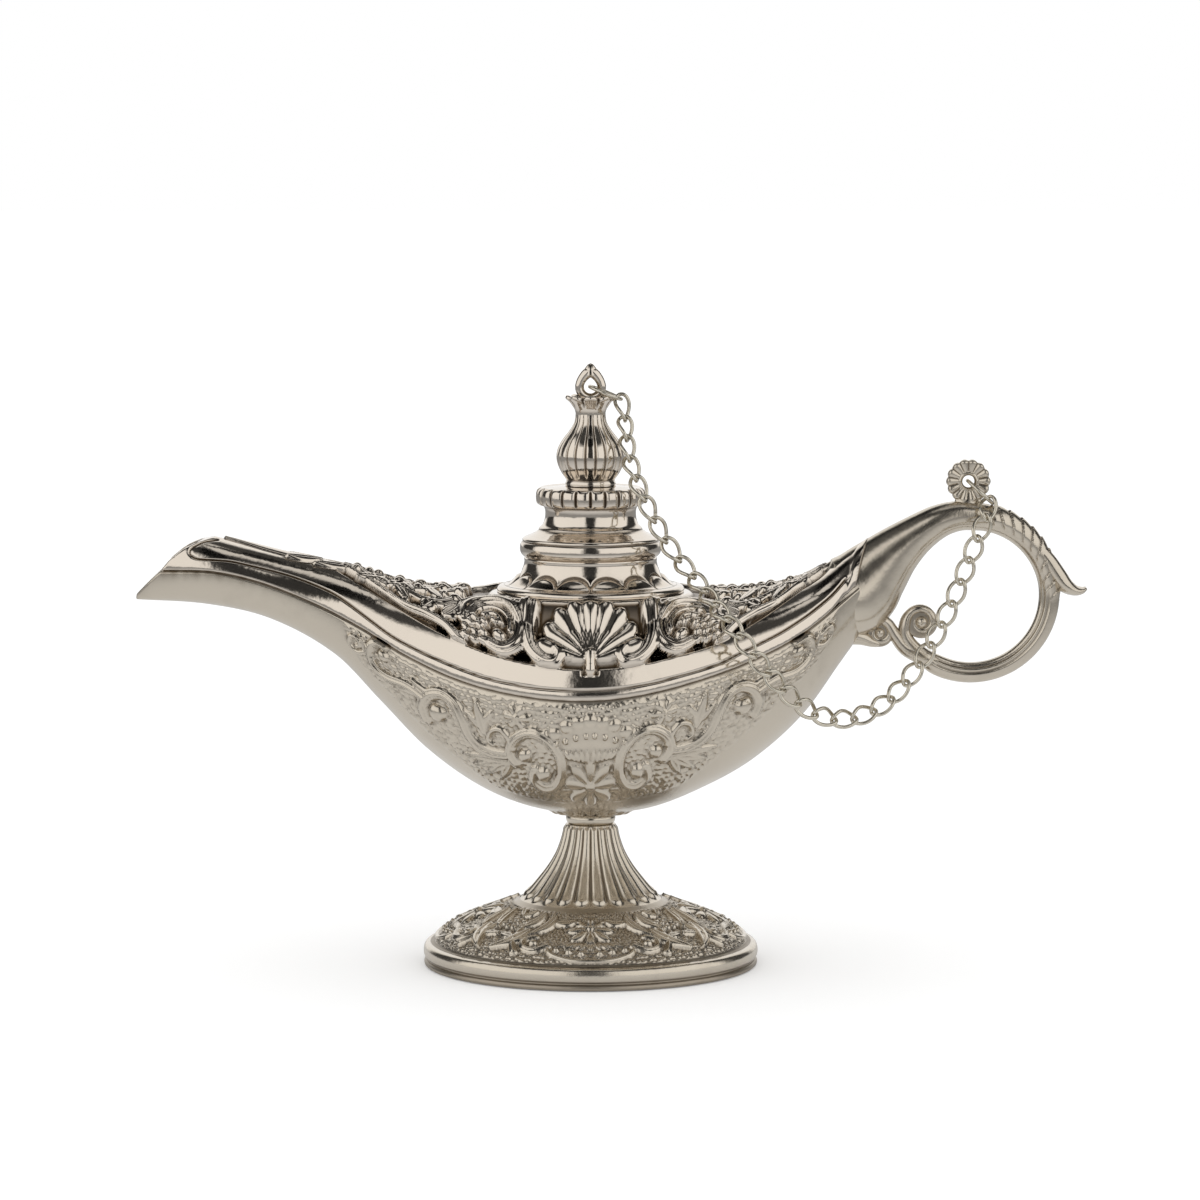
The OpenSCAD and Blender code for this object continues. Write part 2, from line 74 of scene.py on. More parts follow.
ROSETTE_PETALS = 14
LINKS = 32
WIRE_D = 0.8
LINK_W = 4.3
LINK_PLAY = 0.3
END_RING_R = 3.6
BOWL_Z = FOOT_H + KNOP_H
COLLAR_TOP = SEAT_Z + COLLAR_H
LID_TOP = COLLAR_TOP + LID_H
FINIAL_TOP = LID_TOP + FINIAL_H
EYE_Z = FINIAL_TOP - 5
ROSETTE_X = RING_X - 0.7
ROSETTE_Z = RING_Z + RING_R + 7.5


# Camera
CAMERA_AT = (0.002, -1.064, 0.189)
AIM_HEIGHT = 0.078
LENS = 150.6


def make_camera():
    data = bpy.data.cameras.new("camera")
    data.sensor_width = 36
    data.lens = LENS
    data.clip_end = 20
    cam = bpy.data.objects.new("camera", data)
    cam.location = CAMERA_AT
    pitch = math.atan2(CAMERA_AT[2] - AIM_HEIGHT, -CAMERA_AT[1])
    cam.rotation_euler = (math.pi / 2 - pitch, 0, 0)
    bpy.context.collection.objects.link(cam)
    bpy.context.scene.camera = cam


make_camera()


# Materials
def add_node(tree, kind, inputs, **settings):
    """Adds a shader node. An input is given by its name or place, as a value or as another node's output."""
    node = tree.nodes.new("ShaderNode" + kind)
    for key, value in settings.items():
        setattr(node, key, value)
    for key, value in inputs.items():
        if isinstance(value, bpy.types.NodeSocket):
            tree.links.new(value, node.inputs[key])
        else:
            node.inputs[key].default_value = value
    return node


def math_node(tree, operation, *values, clamp=False):
    return add_node(tree, "Math", dict(enumerate(values)), operation=operation, use_clamp=clamp).outputs[0]


def map_range(tree, value, low, high, to_low, to_high):
    limits = {"From Min": low, "From Max": high, "To Min": to_low, "To Max": to_high}
    return add_node(tree, "MapRange", {"Value": value, **limits}).outputs[0]


def noise(tree, scale, detail, roughness):
    place = add_node(tree, "TexCoord", {}).outputs["Object"]
    look = {"Vector": place, "Scale": scale, "Detail": detail, "Roughness": roughness}
    return add_node(tree, "TexNoise", look).outputs["Fac"]


def new_material(name):
    mat = bpy.data.materials.new(name)
    mat.use_nodes = True
    return mat, mat.node_tree, mat.node_tree.nodes["Principled BSDF"]


# Heights of the cast skin's lumps and of its fine grain, in metres
LUMP_HEIGHT = 0.0004
GRAIN_HEIGHT = 0.0001


def metal(name, base, dark, rough, lump, grain):
    """Cast metal: an attribute of brown patina and painted shade darkens its recesses, grooves and joints,
    and noise gives it uneven gloss and lumps.
    """
    mat, tree, bsdf = new_material(name)
    patina_and_shade = add_node(tree, "Attribute", {}, attribute_name="patina_and_shade").outputs["Fac"]
    # Random darker stains in the metal
    stain_and_shade = map_range(tree, noise(tree, 90, 5, 0.6), 0.56, 0.8, 0, 0.16)
    total = math_node(tree, "ADD", patina_and_shade, stain_and_shade, clamp=True)
    colour = add_node(tree, "Mix", {"Factor": total, "A": (*base, 1), "B": (*dark, 1)}, data_type="RGBA")
    gloss = map_range(tree, noise(tree, 260, 4, 0.6), 0, 1, rough * 0.7, rough * 1.35)
    lumps = add_node(tree, "Bump", {
        "Strength": lump, "Distance": LUMP_HEIGHT, "Height": noise(tree, 420, 2, 0.5)})
    fine = add_node(tree, "Bump", {
        "Strength": grain, "Distance": GRAIN_HEIGHT, "Height": noise(tree, 2600, 2, 0.5),
        "Normal": lumps.outputs[0]})
    tree.links.new(colour.outputs["Result"], bsdf.inputs["Base Color"])
    tree.links.new(math_node(tree, "MULTIPLY_ADD", total, 0.3, gloss), bsdf.inputs["Roughness"])
    tree.links.new(fine.outputs[0], bsdf.inputs["Normal"])
    bsdf.inputs["Metallic"].default_value = 1.0
    return mat


BROWN = (0.10, 0.066, 0.036)
POLISHED = metal("polished_nickel", (0.77, 0.70, 0.615), BROWN, 0.1, 0.12, 0.05)
SATIN = metal("satin_nickel", (0.66, 0.60, 0.51), (0.12, 0.085, 0.05), 0.2, 0.12, 0.12)
WIRE = metal("chain_wire", (0.70, 0.655, 0.56), (0.2, 0.16, 0.1), 0.24, 0.05, 0.15)
BRASS = metal("brass_fastener", (0.72, 0.52, 0.22), BROWN, 0.3, 0.1, 0.2)
STEEL = metal("steel_screw", (0.5, 0.5, 0.5), (0.1, 0.1, 0.1), 0.35, 0.1, 0.2)


# Meshes. Points closer than SAME_POINT metres are one, and shorter edges than NO_EDGE go.
SAME_POINT = 1e-7
NO_EDGE = 1e-8


class Shape:
    """Gathers grids of points, in mm, and makes one mesh of them."""

    def __init__(self):
        self.verts = []
        self.faces = []
        self.dark = []
        self.count = 0

    def grid(self, points, wrap=False, keep=None, dark=0.0):
        """points is rows by columns by 3. wrap closes the columns, keep says which faces stay, and dark gives
        each point's darkening of patina and painted shade.
        """
        points = np.asarray(points, float)
        n, m = points.shape[:2]
        ids = np.arange(n * m).reshape(n, m) + self.count
        if wrap:
            ids = np.concatenate([ids, ids[:, :1]], 1)
        quads = np.stack([ids[:-1, :-1], ids[1:, :-1], ids[1:, 1:], ids[:-1, 1:]], -1)
        quads = quads.reshape(-1, 4) if keep is None else quads[keep]
        self.verts.append(points.reshape(-1, 3))
        self.faces.append(quads)
        self.dark.append(np.broadcast_to(dark, (n, m)).reshape(-1).astype(float))
        self.count += n * m

    def make(self, name, material, body, nodes):
        """Makes the object, on a body, in place of CAD nodes."""
        verts = np.concatenate(self.verts)
        faces = np.concatenate(self.faces)
        dark = np.concatenate(self.dark)
        used, index = np.unique(faces, return_inverse=True)
        faces = index.reshape(-1, 4)
        mesh = bpy.data.meshes.new(name)
        mesh.from_pydata((verts[used] * MM).tolist(), [], faces.tolist())
        # Darkening of each point: brown patina and painted shade in recesses, grooves and hollows
        layer = mesh.attributes.new("patina_and_shade", "FLOAT", "POINT")
        layer.data.foreach_set("value", np.clip(dark[used], 0, 1))
        bm = bmesh.new()
        bm.from_mesh(mesh)
        bmesh.ops.remove_doubles(bm, verts=bm.verts, dist=SAME_POINT)
        bmesh.ops.dissolve_degenerate(bm, edges=bm.edges, dist=NO_EDGE)
        bmesh.ops.recalc_face_normals(bm, faces=bm.faces)
        bm.to_mesh(mesh)
        bm.free()
        mesh.polygons.foreach_set("use_smooth", [True] * len(mesh.polygons))
        mesh.materials.append(material)
        obj = bpy.data.objects.new(name, mesh)
        bpy.context.collection.objects.link(obj)
        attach(obj, body)
        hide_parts(*nodes)


def smooth_path(points, steps):
    """Catmull-Rom curve through points. A point given twice is a corner."""
    points = [np.asarray(p, float) for p in points]
    last = len(points) - 1
    out = []
    for i in range(last):
        b = points[i]
        c = points[i + 1]
        if np.allclose(b, c):
            out.append(b)
            continue
        a = points[max(i - 1, 0)]
        d = points[min(i + 2, last)]
        for k in range(steps):
            t = k / steps
            out.append(0.5 * (2 * b + (c - a) * t + (2 * a - 5 * b + 4 * c - d) * t ** 2
                              + (3 * b - a - 3 * c + d) * t ** 3))
    out.append(points[-1])
    return np.array(out)


def turn(around):
    """One row with the angle of each point round a turned form."""
    return (np.arange(around) * TAU / around)[None, :]


def lathe(profile, around, ripple=0.0):
    """Grid of a turned form. ripple is added to its radius."""
    r = profile[:, :1] + np.zeros(around) + ripple
    z = profile[:, 1:2] + np.zeros(around)
    return np.stack([r * np.cos(turn(around)), r * np.sin(turn(around)), z], -1)


def smoothstep(a, b, x):
    t = np.clip((x - a) / (b - a), 0, 1)
    return t * t * (3 - 2 * t)


def grid_normals(p, wrap=False):
    q = np.concatenate([p[:, -1:], p, p[:, :1]], 1) if wrap else p
    across = np.gradient(q, axis=1)
    along = np.gradient(q, axis=0)
    n = np.cross(along, across)
    if wrap:
        n = n[:, 1:-1]
    return n / np.maximum(np.linalg.norm(n, axis=-1, keepdims=True), 1e-9)


def hollow(h, size, gain, wrap=False):
    """Shade for the recesses of a relief: how far each point lies below its surroundings."""
    pad = ((size, size), (size, size))
    q = np.pad(h, pad, mode="edge")
    if wrap:
        q[:, :size] = q[:, -2 * size:-size]
        q[:, -size:] = q[:, size:2 * size]
    c = np.cumsum(np.cumsum(np.pad(q, ((1, 0), (1, 0))), 0), 1)
    k = 2 * size + 1
    mean = (c[k:, k:] - c[:-k, k:] - c[k:, :-k] + c[:-k, :-k]) / (k * k)
    return np.clip((mean - h) * gain, 0, 1)


def line_distance(u, v, line):
    """Squared distance of each point from a line, and the share of the line at which it is nearest."""
    best = np.full(u.shape, 1e9)
    along = np.zeros(u.shape)
    n = len(line) - 1
    for i in range(n):
        a = line[i]
        e = line[i + 1] - a
        t = np.clip(((u - a[0]) * e[0] + (v - a[1]) * e[1]) / max(e @ e, 1e-9), 0, 1)
        d = (u - a[0] - t * e[0]) ** 2 + (v - a[1] - t * e[1]) ** 2
        closer = d < best
        best[closer] = d[closer]
        along[closer] = (i + t[closer]) / n
    return best, along


def dome(s, height, edge):
    """Round top over s from 0 to 1, and a slope that falls away outside it."""
    return np.where(s < 1, height * np.sqrt(np.maximum(0, 1 - s * s)), (1 - s) * edge)


class Relief:
    """Field of heights, in mm, over flat coordinates. Each function raises an ornament on it."""

    def __init__(self, u, v, ground=0.0):
        self.u = u
        self.v = v
        self.h = np.full(u.shape, float(ground))
        self.above = np.full(u.shape, -99.0)

    def near(self, low, high):
        return (self.u > low[0]) & (self.u < high[0]) & (self.v > low[1]) & (self.v < high[1])

    def put(self, where, value):
        self.above[where] = np.maximum(self.above[where], value)

    def stroke(self, points, width, height, ends=(1, 1), groove=0.0):
        """Rounded band along a line. ends scales its width at both ends."""
        line = smooth_path(points, 6)
        pad = width * max(1, *ends) + 1
        where = self.near(line.min(0) - pad, line.max(0) + pad)
        best, along = line_distance(self.u[where], self.v[where], line)
        w = width * (ends[0] + (ends[1] - ends[0]) * along)
        s = np.sqrt(best) / w
        value = dome(s, height, w * 3)
        if groove:
            value = value - groove * np.exp(-((s - 0.42) / 0.14) ** 2) * (s < 1)
        self.put(where, value)

    def cut(self, points, width, depth, steps):
        """Thin groove along a line, cut into whatever is there."""
        line = smooth_path(points, steps)
        where = self.near(line.min(0) - 3 * width, line.max(0) + 3 * width)
        best, _ = line_distance(self.u[where], self.v[where], line)
        self.h[where] -= depth * np.exp(-best / (width * width))

    def ball(self, u0, v0, r, height):
        where = self.near((u0 - r - 1, v0 - r - 1), (u0 + r + 1, v0 + r + 1))
        s = np.hypot(self.u[where] - u0, self.v[where] - v0) / r
        self.put(where, dome(s, height, r * 3))

    def flower(self, u0, v0, r, petals, height, squash=1.0, eye=0.25):
        where = self.near((u0 - r - 1, v0 - r - 1), (u0 + r + 1, v0 + r + 1))
        du = self.u[where] - u0
        dv = (self.v[where] - v0) / squash
        wave = np.abs(np.cos(np.arctan2(dv, du) * petals / 2))
        s = np.hypot(du, dv) / (r * (0.5 + 0.5 * wave ** 0.7))
        rib = 0.55 + 0.45 * wave ** 0.8
        self.put(where, np.where(s < 1, height * rib * np.maximum(0, 1 - s ** 4) ** 0.5, (1 - s) * r * 2))
        self.ball(u0, v0, r * eye, height * 1.5)

    def leaf(self, a, b, width, height, vein=0.35, bend=0.0):
        """Pointed leaf from a to b with a sunk midrib."""
        a = np.asarray(a, float)
        b = np.asarray(b, float)
        length = np.linalg.norm(b - a)
        t_dir = (b - a) / length
        s_dir = np.array([-t_dir[1], t_dir[0]])
        pad = width + abs(bend) + 1
        where = self.near(np.minimum(a, b) - pad, np.maximum(a, b) + pad)
        du = self.u[where] - a[0]
        dv = self.v[where] - a[1]
        t = (du * t_dir[0] + dv * t_dir[1]) / length
        s = du * s_dir[0] + dv * s_dir[1] - bend * 4 * t * (1 - t)
        inside = (t > 0) & (t < 1)
        half = width * np.sin(math.pi * np.clip(t, 0, 1) ** 0.8) ** 0.75 + 0.05
        k = np.abs(s) / half
        value = height * np.sqrt(np.maximum(0, 1 - k * k)) - vein * height * np.exp(-(k / 0.22) ** 2)
        out = -3 * np.maximum(np.abs(s) - half, np.maximum(-t, t - 1) * length)
        self.put(where, np.where(inside & (k < 1), value, np.minimum(out, -0.05)))

    def fan(self, u0, v0, ru, rv, start, end, lobes, height):
        """Palmette: lobes that spread from a point, from start to end, in degrees."""
        where = self.near((u0 - ru - 1, v0 - rv - 1), (u0 + ru + 1, v0 + rv + 1))
        du = (self.u[where] - u0) / ru
        dv = (self.v[where] - v0) / rv
        rho = np.hypot(du, dv)
        phase = (np.degrees(np.arctan2(dv, du)) - start) / (end - start)
        wave = np.abs(np.sin(math.pi * phase * lobes))
        edge = 0.86 + 0.14 * wave ** 0.6
        inside = (phase > 0) & (phase < 1) & (rho < edge)
        body = height * (0.3 + 0.7 * wave ** 0.6) * (0.35 + 0.65 * rho)
        rolled = body * np.maximum(0, 1 - (rho / edge) ** 8) ** 0.5
        off = np.maximum((rho - edge) * min(ru, rv), np.maximum(-phase, phase - 1) * 8 * rho)
        self.put(where, np.where(inside, rolled, -3 * np.maximum(off, 0.02)))

    def rosebud(self, u0, v0, r, count, height):
        """Cluster of berries: one in the middle and rings around it."""
        self.ball(u0, v0, r, height * 1.25)
        for i in range(count):
            a = TAU * i / count
            self.ball(u0 + 1.75 * r * math.cos(a), v0 + 1.75 * r * math.sin(a), r, height)

    def settle(self):
        """Heights of the ornament over the ground."""
        self.h = np.where(self.above > self.h, self.above, self.h)
        return self.h


def volute(u0, v0, r, start, turns):
    """Points of a spiral that winds in round a centre. Angles in degrees."""
    t = np.linspace(0, 1, int(14 * abs(turns)) + 1)
    a = np.radians(start) + TAU * turns * t
    q = r * (1 - 0.7 * t)
    return [(u0 + x, v0 + y) for x, y in zip(q * np.cos(a), q * np.sin(a))]


def pebbles(u, v, pitch, height, seed):
    """Ground of small raised dots on a shaken hexagonal grid."""
    rng = np.random.default_rng(seed)
    shake = rng.uniform(-0.22, 0.22, (256, 256, 2)) * pitch
    size = rng.uniform(0.8, 1.15, (256, 256))
    row = np.floor(v / (pitch * 0.866)).astype(int)
    best = np.zeros(u.shape)
    for dr in (-1, 0, 1):
        r = row + dr
        shift = 0.5 * (r % 2)
        col = np.floor(u / pitch - shift).astype(int)
        for dc in (-1, 0, 1):
            c = col + dc
            offset = shake[r % 256, c % 256]
            cu = (c + shift + 0.5) * pitch + offset[..., 0]
            cv = (r + 0.5) * pitch * 0.866 + offset[..., 1]
            s = np.hypot(u - cu, v - cv) / (pitch * 0.5 * size[r % 256, c % 256])
            best = np.maximum(best, np.sqrt(np.maximum(0, 1 - s * s)))
    return height * best


# Lengthwise lines of the body, as in the part's source
class Line:
    """Smooth curve through [x, value] points."""

    def __init__(self, points):
        self.x = np.array([p[0] for p in points], float)
        self.v = np.array([p[1] for p in points], float)
        i = np.arange(len(points))
        a = np.maximum(i - 1, 0)
        b = np.minimum(i + 1, len(points) - 1)
        self.m = (self.v[b] - self.v[a]) / (self.x[b] - self.x[a])

    def __call__(self, x):
        x = np.asarray(x, float)
        i = np.clip(np.searchsorted(self.x, x, side="right") - 1, 0, len(self.x) - 2)
        d = self.x[i + 1] - self.x[i]
        t = (x - self.x[i]) / d
        return ((2 * t ** 3 - 3 * t ** 2 + 1) * self.v[i] + (t ** 3 - 2 * t ** 2 + t) * self.m[i] * d
                + (3 * t ** 2 - 2 * t ** 3) * self.v[i + 1] + (t ** 3 - t ** 2) * self.m[i + 1] * d)


SR = SPOUT_REACH
NR = NECK_REACH
keel_line = Line([
    [-SR, 78.2], [-0.84 * SR, 77.2], [-0.7 * SR, 74], [-0.56 * SR, 66.4], [-0.46 * SR, 56.4],
    [-0.36 * SR, 46.4], [-0.24 * SR, 38.2], [-0.12 * SR, BOWL_Z + 1.1], [0, BOWL_Z],
    [0.22 * NR, BOWL_Z + 1.1], [0.44 * NR, 38.6], [0.62 * NR, 44.6], [0.8 * NR, 54],
    [0.94 * NR, 65.2], [NR, 70]])
joint_line = Line([
    [-SR, 84.3], [-0.92 * SR, 84.8], [-0.82 * SR, 84.6], [-0.72 * SR, 82.4], [-0.6 * SR, 77.9],
    [-0.5 * SR, 73.1], [-0.4 * SR, 67.7], [-0.28 * SR, 63.2], [-0.14 * SR, JOINT_Z + 0.6],
    [0, JOINT_Z], [0.2 * NR, JOINT_Z + 1.2], [0.42 * NR, 64.2], [0.62 * NR, 67.9],
    [0.8 * NR, 72.7], [NR, 81.4]])
ridge_line = Line([
    [-SR, 94.5], [-0.9 * SR, 93.2], [-0.82 * SR, 91.6], [-0.68 * SR, 88.2], [-0.54 * SR, 85],
    [-0.42 * SR, 81.6], [-0.3 * SR, SEAT_Z], [0, SEAT_Z + 0.6], [0.5 * NR, SEAT_Z - 0.4],
    [0.7 * NR, 80.8], [0.84 * NR, 83.6], [NR, 89.6]])
width_line = Line([
    [-SR, 1.8], [-0.96 * SR, 4.4], [-0.9 * SR, 6.4], [-0.8 * SR, 7.6], [-0.66 * SR, 8],
    [-0.54 * SR, 9.8], [-0.42 * SR, 14.6], [-0.32 * SR, 20.2], [-0.22 * SR, 25.8],
    [-0.1 * SR, BODY_HALF_W - 1.2], [0, BODY_HALF_W], [0.24 * NR, BODY_HALF_W - 1.8],
    [0.5 * NR, 24.4], [0.7 * NR, 17.6], [0.86 * NR, 11.2], [NR, 6.6]])


def fullness(x):
    return 2 + 0.35 * np.maximum(0, 1 - np.abs(x) / 45)


# Side outline of the spout's mouth: the front of each casting, as x at a height
MOUTH = [
    (79, -96.7), (81.8, -94), (84.6, -91), (87, -89), (89.4, -86), (90.9, -83), (91.7, -79.6), (93, -76)]


def mouth_x(z):
    return np.interp(z, [p[0] for p in MOUTH], [p[1] for p in MOUTH])


def half_arc(x, inset, upper):
    """Cross-section of the bowl or the cover at each x, from the joint to the middle: y, z, travel."""
    a = np.linspace(math.pi / 2, 0, 200)[None, :]
    x = x[:, None]
    z0 = joint_line(x)
    w = width_line(x) - inset
    if upper:
        n = 2 / fullness(x)
        y = w * np.sin(a) ** n
        z = z0 + (ridge_line(x) - inset - z0) * np.cos(a) ** n
    else:
        y = w * np.sin(a)
        z = z0 - (z0 - keel_line(x) - inset) * np.cos(a)
    step = np.hypot(np.diff(y, axis=1), np.diff(z, axis=1))
    travel = np.concatenate([np.zeros((len(x), 1)), np.cumsum(step, 1)], 1)
    return y, z, travel


def section(x, share, inset, upper):
    """Point at each x and each share of the way from the joint to the middle: y, z, travel."""
    y, z, travel = half_arc(x, inset, upper)
    out = np.zeros((len(x), len(share), 2))
    length = travel[:, -1]
    for i in range(len(x)):
        s = share * length[i]
        out[i, :, 0] = np.interp(s, travel[i], y[i])
        out[i, :, 1] = np.interp(s, travel[i], z[i])
    return out[..., 0], out[..., 1], share[None, :] * length[:, None]


def body_grid(x, share, inset, upper):
    """Grid over one half of a casting. Each line starts on the outline of the mouth."""
    y, z, travel = section(x, share, inset, upper)
    grid_x = np.repeat(x[:, None], len(share), 1)
    front = x < -70
    for j in range(len(share)):
        gap = x - mouth_x(z[:, j])
        i = int(np.argmax(gap >= 0))
        i = int(np.argmax(gap >= 0))
        if i == 0:
            continue
        k = gap[i - 1] / (gap[i - 1] - gap[i])
        start = x[i - 1] + k * (x[i] - x[i - 1])
        tail = x[front][-1]
        new = start + (x[front] - x[0]) * (tail - start) / (tail - x[0])
        for field in (y, z, travel):
            field[front, j] = np.interp(new, x, field[:, j])
        grid_x[front, j] = new
    return grid_x, y, z, travel


def mirrored(x, y, z, *fields):
    """Joins a half grid to its mirror image across the middle plane."""
    points = np.stack([x, -y, z], -1)
    other = np.stack([x, y, z], -1)[:, ::-1]
    both = np.concatenate([points[:, :-1], other], 1)
    return [both] + [np.concatenate([f[:, :-1], f[:, ::-1]], 1) for f in fields]


def stations(first, fine_from, fine_to, last, coarse, fine):
    a = np.arange(first, fine_from, coarse)
    b = np.arange(fine_from, fine_to, fine)
    c = np.linspace(fine_to, last, max(2, int((last - fine_to) / coarse) + 1))
    return np.concatenate([a, b, c])


def rim(outer, inner, bulge, steps=4):
    """Rounded edge from one line of points to another, bulging along a direction."""
    rows = []
    for k in range(steps + 1):
        t = k / steps
        rows.append(outer * (1 - t) + inner * t + np.asarray(bulge) * math.sin(math.pi * t))
    return np.stack(rows)


# Bowl: scrolls, shell and flowers over a pebbled band, mirrored about the stem
def bowl_relief(x, depth, y, z, travel):
    """x runs from the stem to both ends, depth is measured down from the joint line."""
    field = Relief(np.abs(x), depth)
    # Shell: scalloped rim, a row of beads and a row of short ribs
    field.leaf((0, 13.4), (0, 3), 7.6, 0.42, 0)
    for k in range(4):
        field.ball(2.45 * k, 4.2 + 0.33 * k * k, 1.45, 0.62)
    field.stroke([(9.4, 6.8), (8.2, 8.8), (6.6, 10.8), (5.4, 12)], 0.6, 0.62, ends=(1, 0.7))
    for bead_x, bead_d in ((0.9, 7.2), (3, 7.6), (5.1, 8.4), (7, 9)):
        field.ball(bead_x, bead_d, 0.62, 1)
    for k in range(5):
        field.leaf((0.55 + 0.85 * k, 13.2 - 0.2 * k), (0.7 + 1.2 * k, 9.8 + 0.12 * k), 0.62, 0.8, 0)
    field.flower(0, 18, 5.6, 8, 0.95, 1.1, 0.24)
    # Large scroll beside the shell, with a ball in each of its curls
    scroll = [(15.2, 14.4), (16.6, 12.6), (16, 9.8), (13.8, 7.7), (11.2, 7.3), (8.4, 8.7), (6.3, 11.9),
              (5.9, 15.6), (7.2, 18.6), (9.6, 19.4), (11.6, 17.8), (11.4, 15.4)]
    field.stroke(scroll, 1.6, 1, groove=0.25, ends=(0.75, 0.7))
    field.ball(13.5, 12.3, 1.5, 1.25)
    field.ball(9.6, 16, 1.6, 1.35)
    # Hook, and the long S that climbs away from it
    hook = [(15.9, 11.3), (17.1, 8.9), (18.7, 7.6), (20.5, 8.4), (21.1, 10.4), (19.9, 11.2)]
    field.stroke(hook, 0.8, 0.8, ends=(1, 0.6))
    long_scroll = [(17.2, 13.2), (20.5, 13.4), (23.4, 12.4), (25.4, 10.4), (26.8, 7.4), (28.4, 4.9),
                   (31, 4), (33.8, 5.6), (35.2, 8.6), (34.2, 11)]
    field.stroke(long_scroll, 1.7, 1, groove=0.25, ends=(0.75, 0.75))
    field.ball(31.8, 8.4, 1.9, 1.35)
    field.leaf((32.6, 5.6), (37.4, 3.8), 1.2, 0.8, 0.3, 0.6)
    field.leaf((33.6, 6.8), (41.2, 7.8), 1.3, 0.7, 0.3, -1)
    second = [(34.8, 6.6), (38.5, 5.9), (42.8, 6.6), (45.6, 5.6), (46.5, 3), (45.2, 0.9), (43.2, 0.6)]
    field.stroke(second, 1.25, 0.95, groove=0.22, ends=(0.9, 0.6))
    field.ball(43.4, 2.5, 1.3, 1.1)
    field.stroke(volute(49.4, 3.4, 2, 150, -1.1), 0.6, 0.65, ends=(1, 0.7))
    field.leaf((46.6, 5.4), (48.4, 1.4), 0.8, 0.6)
    # Small flower, feather and the spray of leaflets under the hook
    field.flower(15.3, 4.4, 2.9, 6, 0.6)
    field.leaf((21.8, 9.7), (24, 2.5), 1.2, 0.7)
    field.leaf((22.4, 8.6), (26, 5.6), 0.7, 0.6)
    field.leaf((22, 7.4), (20.6, 4.4), 0.6, 0.6)
    for tip in ((26.6, 15.2), (24.4, 17), (21.8, 18.6), (18.6, 18.9)):
        field.leaf((16.4, 14.2), tip, 0.95, 0.7)
    ornament = field.settle()
    # Pebbled ground between the joint and a line that climbs to both ends
    out = np.abs(x)
    low = np.interp(out, [0, 12, 20, 27, 34, 41, 48, 52], [24, 23.6, 22.4, 18.5, 15, 11.4, 8.4, 4.5])
    inside = smoothstep(0.5, 1.1, depth) * smoothstep(0, 1.2, low - depth) * smoothstep(52.5, 50.5, out)
    ground = pebbles(out, depth, 1.25, 0.3, 3) * inside
    h = np.where(ornament > 0.02, ornament * 1.35, ground)
    # Calyx of flutes where the bowl meets the knop
    r = np.hypot(x, y)
    ribs = np.abs(np.cos(np.arctan2(y, x) * 10)) ** 0.6
    calyx = (r < 11) & (z < 42)
    h = np.where(calyx, np.maximum(h, 0.75 * ribs * smoothstep(10, 7.6, r)), h)
    # Fine step where the casting meets the cover
    return h - 0.3 * np.exp(-(travel / 0.3) ** 2)


def make_bowl():
    x = stations(-SR, -53, 53, NR, 0.6, 0.27)
    share = np.linspace(0, 1, 165)
    gx, y, z, travel = body_grid(x, share, 0, False)
    depth = joint_line(gx) - z
    h = bowl_relief(gx, depth, y, z, travel)
    points, h, travel = mirrored(gx, y, z, h, travel)
    normal = grid_normals(points)
    flip = np.sign(np.sum(normal * (points - np.array([0, 0, 66])), -1, keepdims=True).mean())
    # Painted shade in the relief's recesses and in the step where the bowl meets the cover
    dark = hollow(h, 3, 1.3) * 0.75 + 0.75 * np.exp(-(travel / 0.3) ** 2)
    px = points[..., 0]
    seam = np.exp(-(travel / 1.5) ** 2) * smoothstep(-60, -85, px)
    seam = seam * (0.55 + 0.45 * np.sin(px * 1.9) * np.sin(px * 0.7))
    # Painted shade: a darker band low on the bowl's sides beside the stem
    stain_and_shade = np.exp(-((points[..., 2] - 37.5) / 2.2) ** 2)
    stain_and_shade = stain_and_shade * smoothstep(22, 12, np.abs(px)) * smoothstep(4, 9, np.abs(px))
    shape = Shape()
    outer = points + normal * flip * h[..., None]
    shape.grid(outer, dark=np.clip(dark + 0.55 * seam + 0.4 * stain_and_shade, 0, 1))
    ix = stations(-SR + 0.6, -50, 50, NR - 1, 2, 2)
    gx, y, z, _ = body_grid(ix, share, WALL, False)
    inner, = mirrored(gx, y, z)
    # Painted shade over the inside of the bowl
    shape.grid(inner, dark=0.75)
    shape.grid(rim(outer[0], inner[0], (-0.35, 0, 0)), dark=0.1)
    shape.make("bowl_casting", SATIN, "root", ["bowl"])


# Cover: polished bands at the joint, then pierced scrollwork up to the collar
groove_line = Line([
    (-97, 88), (-83.3, 87.4), (-76.2, 87), (-71.5, 86), (-62.2, 83.5), (-53, 79.5), (-42.1, 71.9),
    (-31.9, 67.4), (-21.8, 64.3), (-11.7, 62.7), (-1.6, 62.2), (8.4, 62.9), (18.5, 65), (27, 67.3),
    (31.8, 69.4), (40.4, 73.1), (46.9, 76.9), (51.3, 80.3), (55.7, 85.2), (62, 92)])
pierced_line = Line([
    (-97, 99), (-66, 90.5), (-58, 87), (-52.4, 84.1), (-42.1, 78.4), (-31.9, 73.3), (-21.8, 69.8),
    (-14.3, 68.2), (-6.7, 67.2), (0.9, 67), (8.4, 67.6), (16, 69), (27, 71.8), (36, 76), (44, 80.6),
    (50, 84.4), (57, 93)])
SHOULDER_R = 21
SHOULDER_FROM = 26


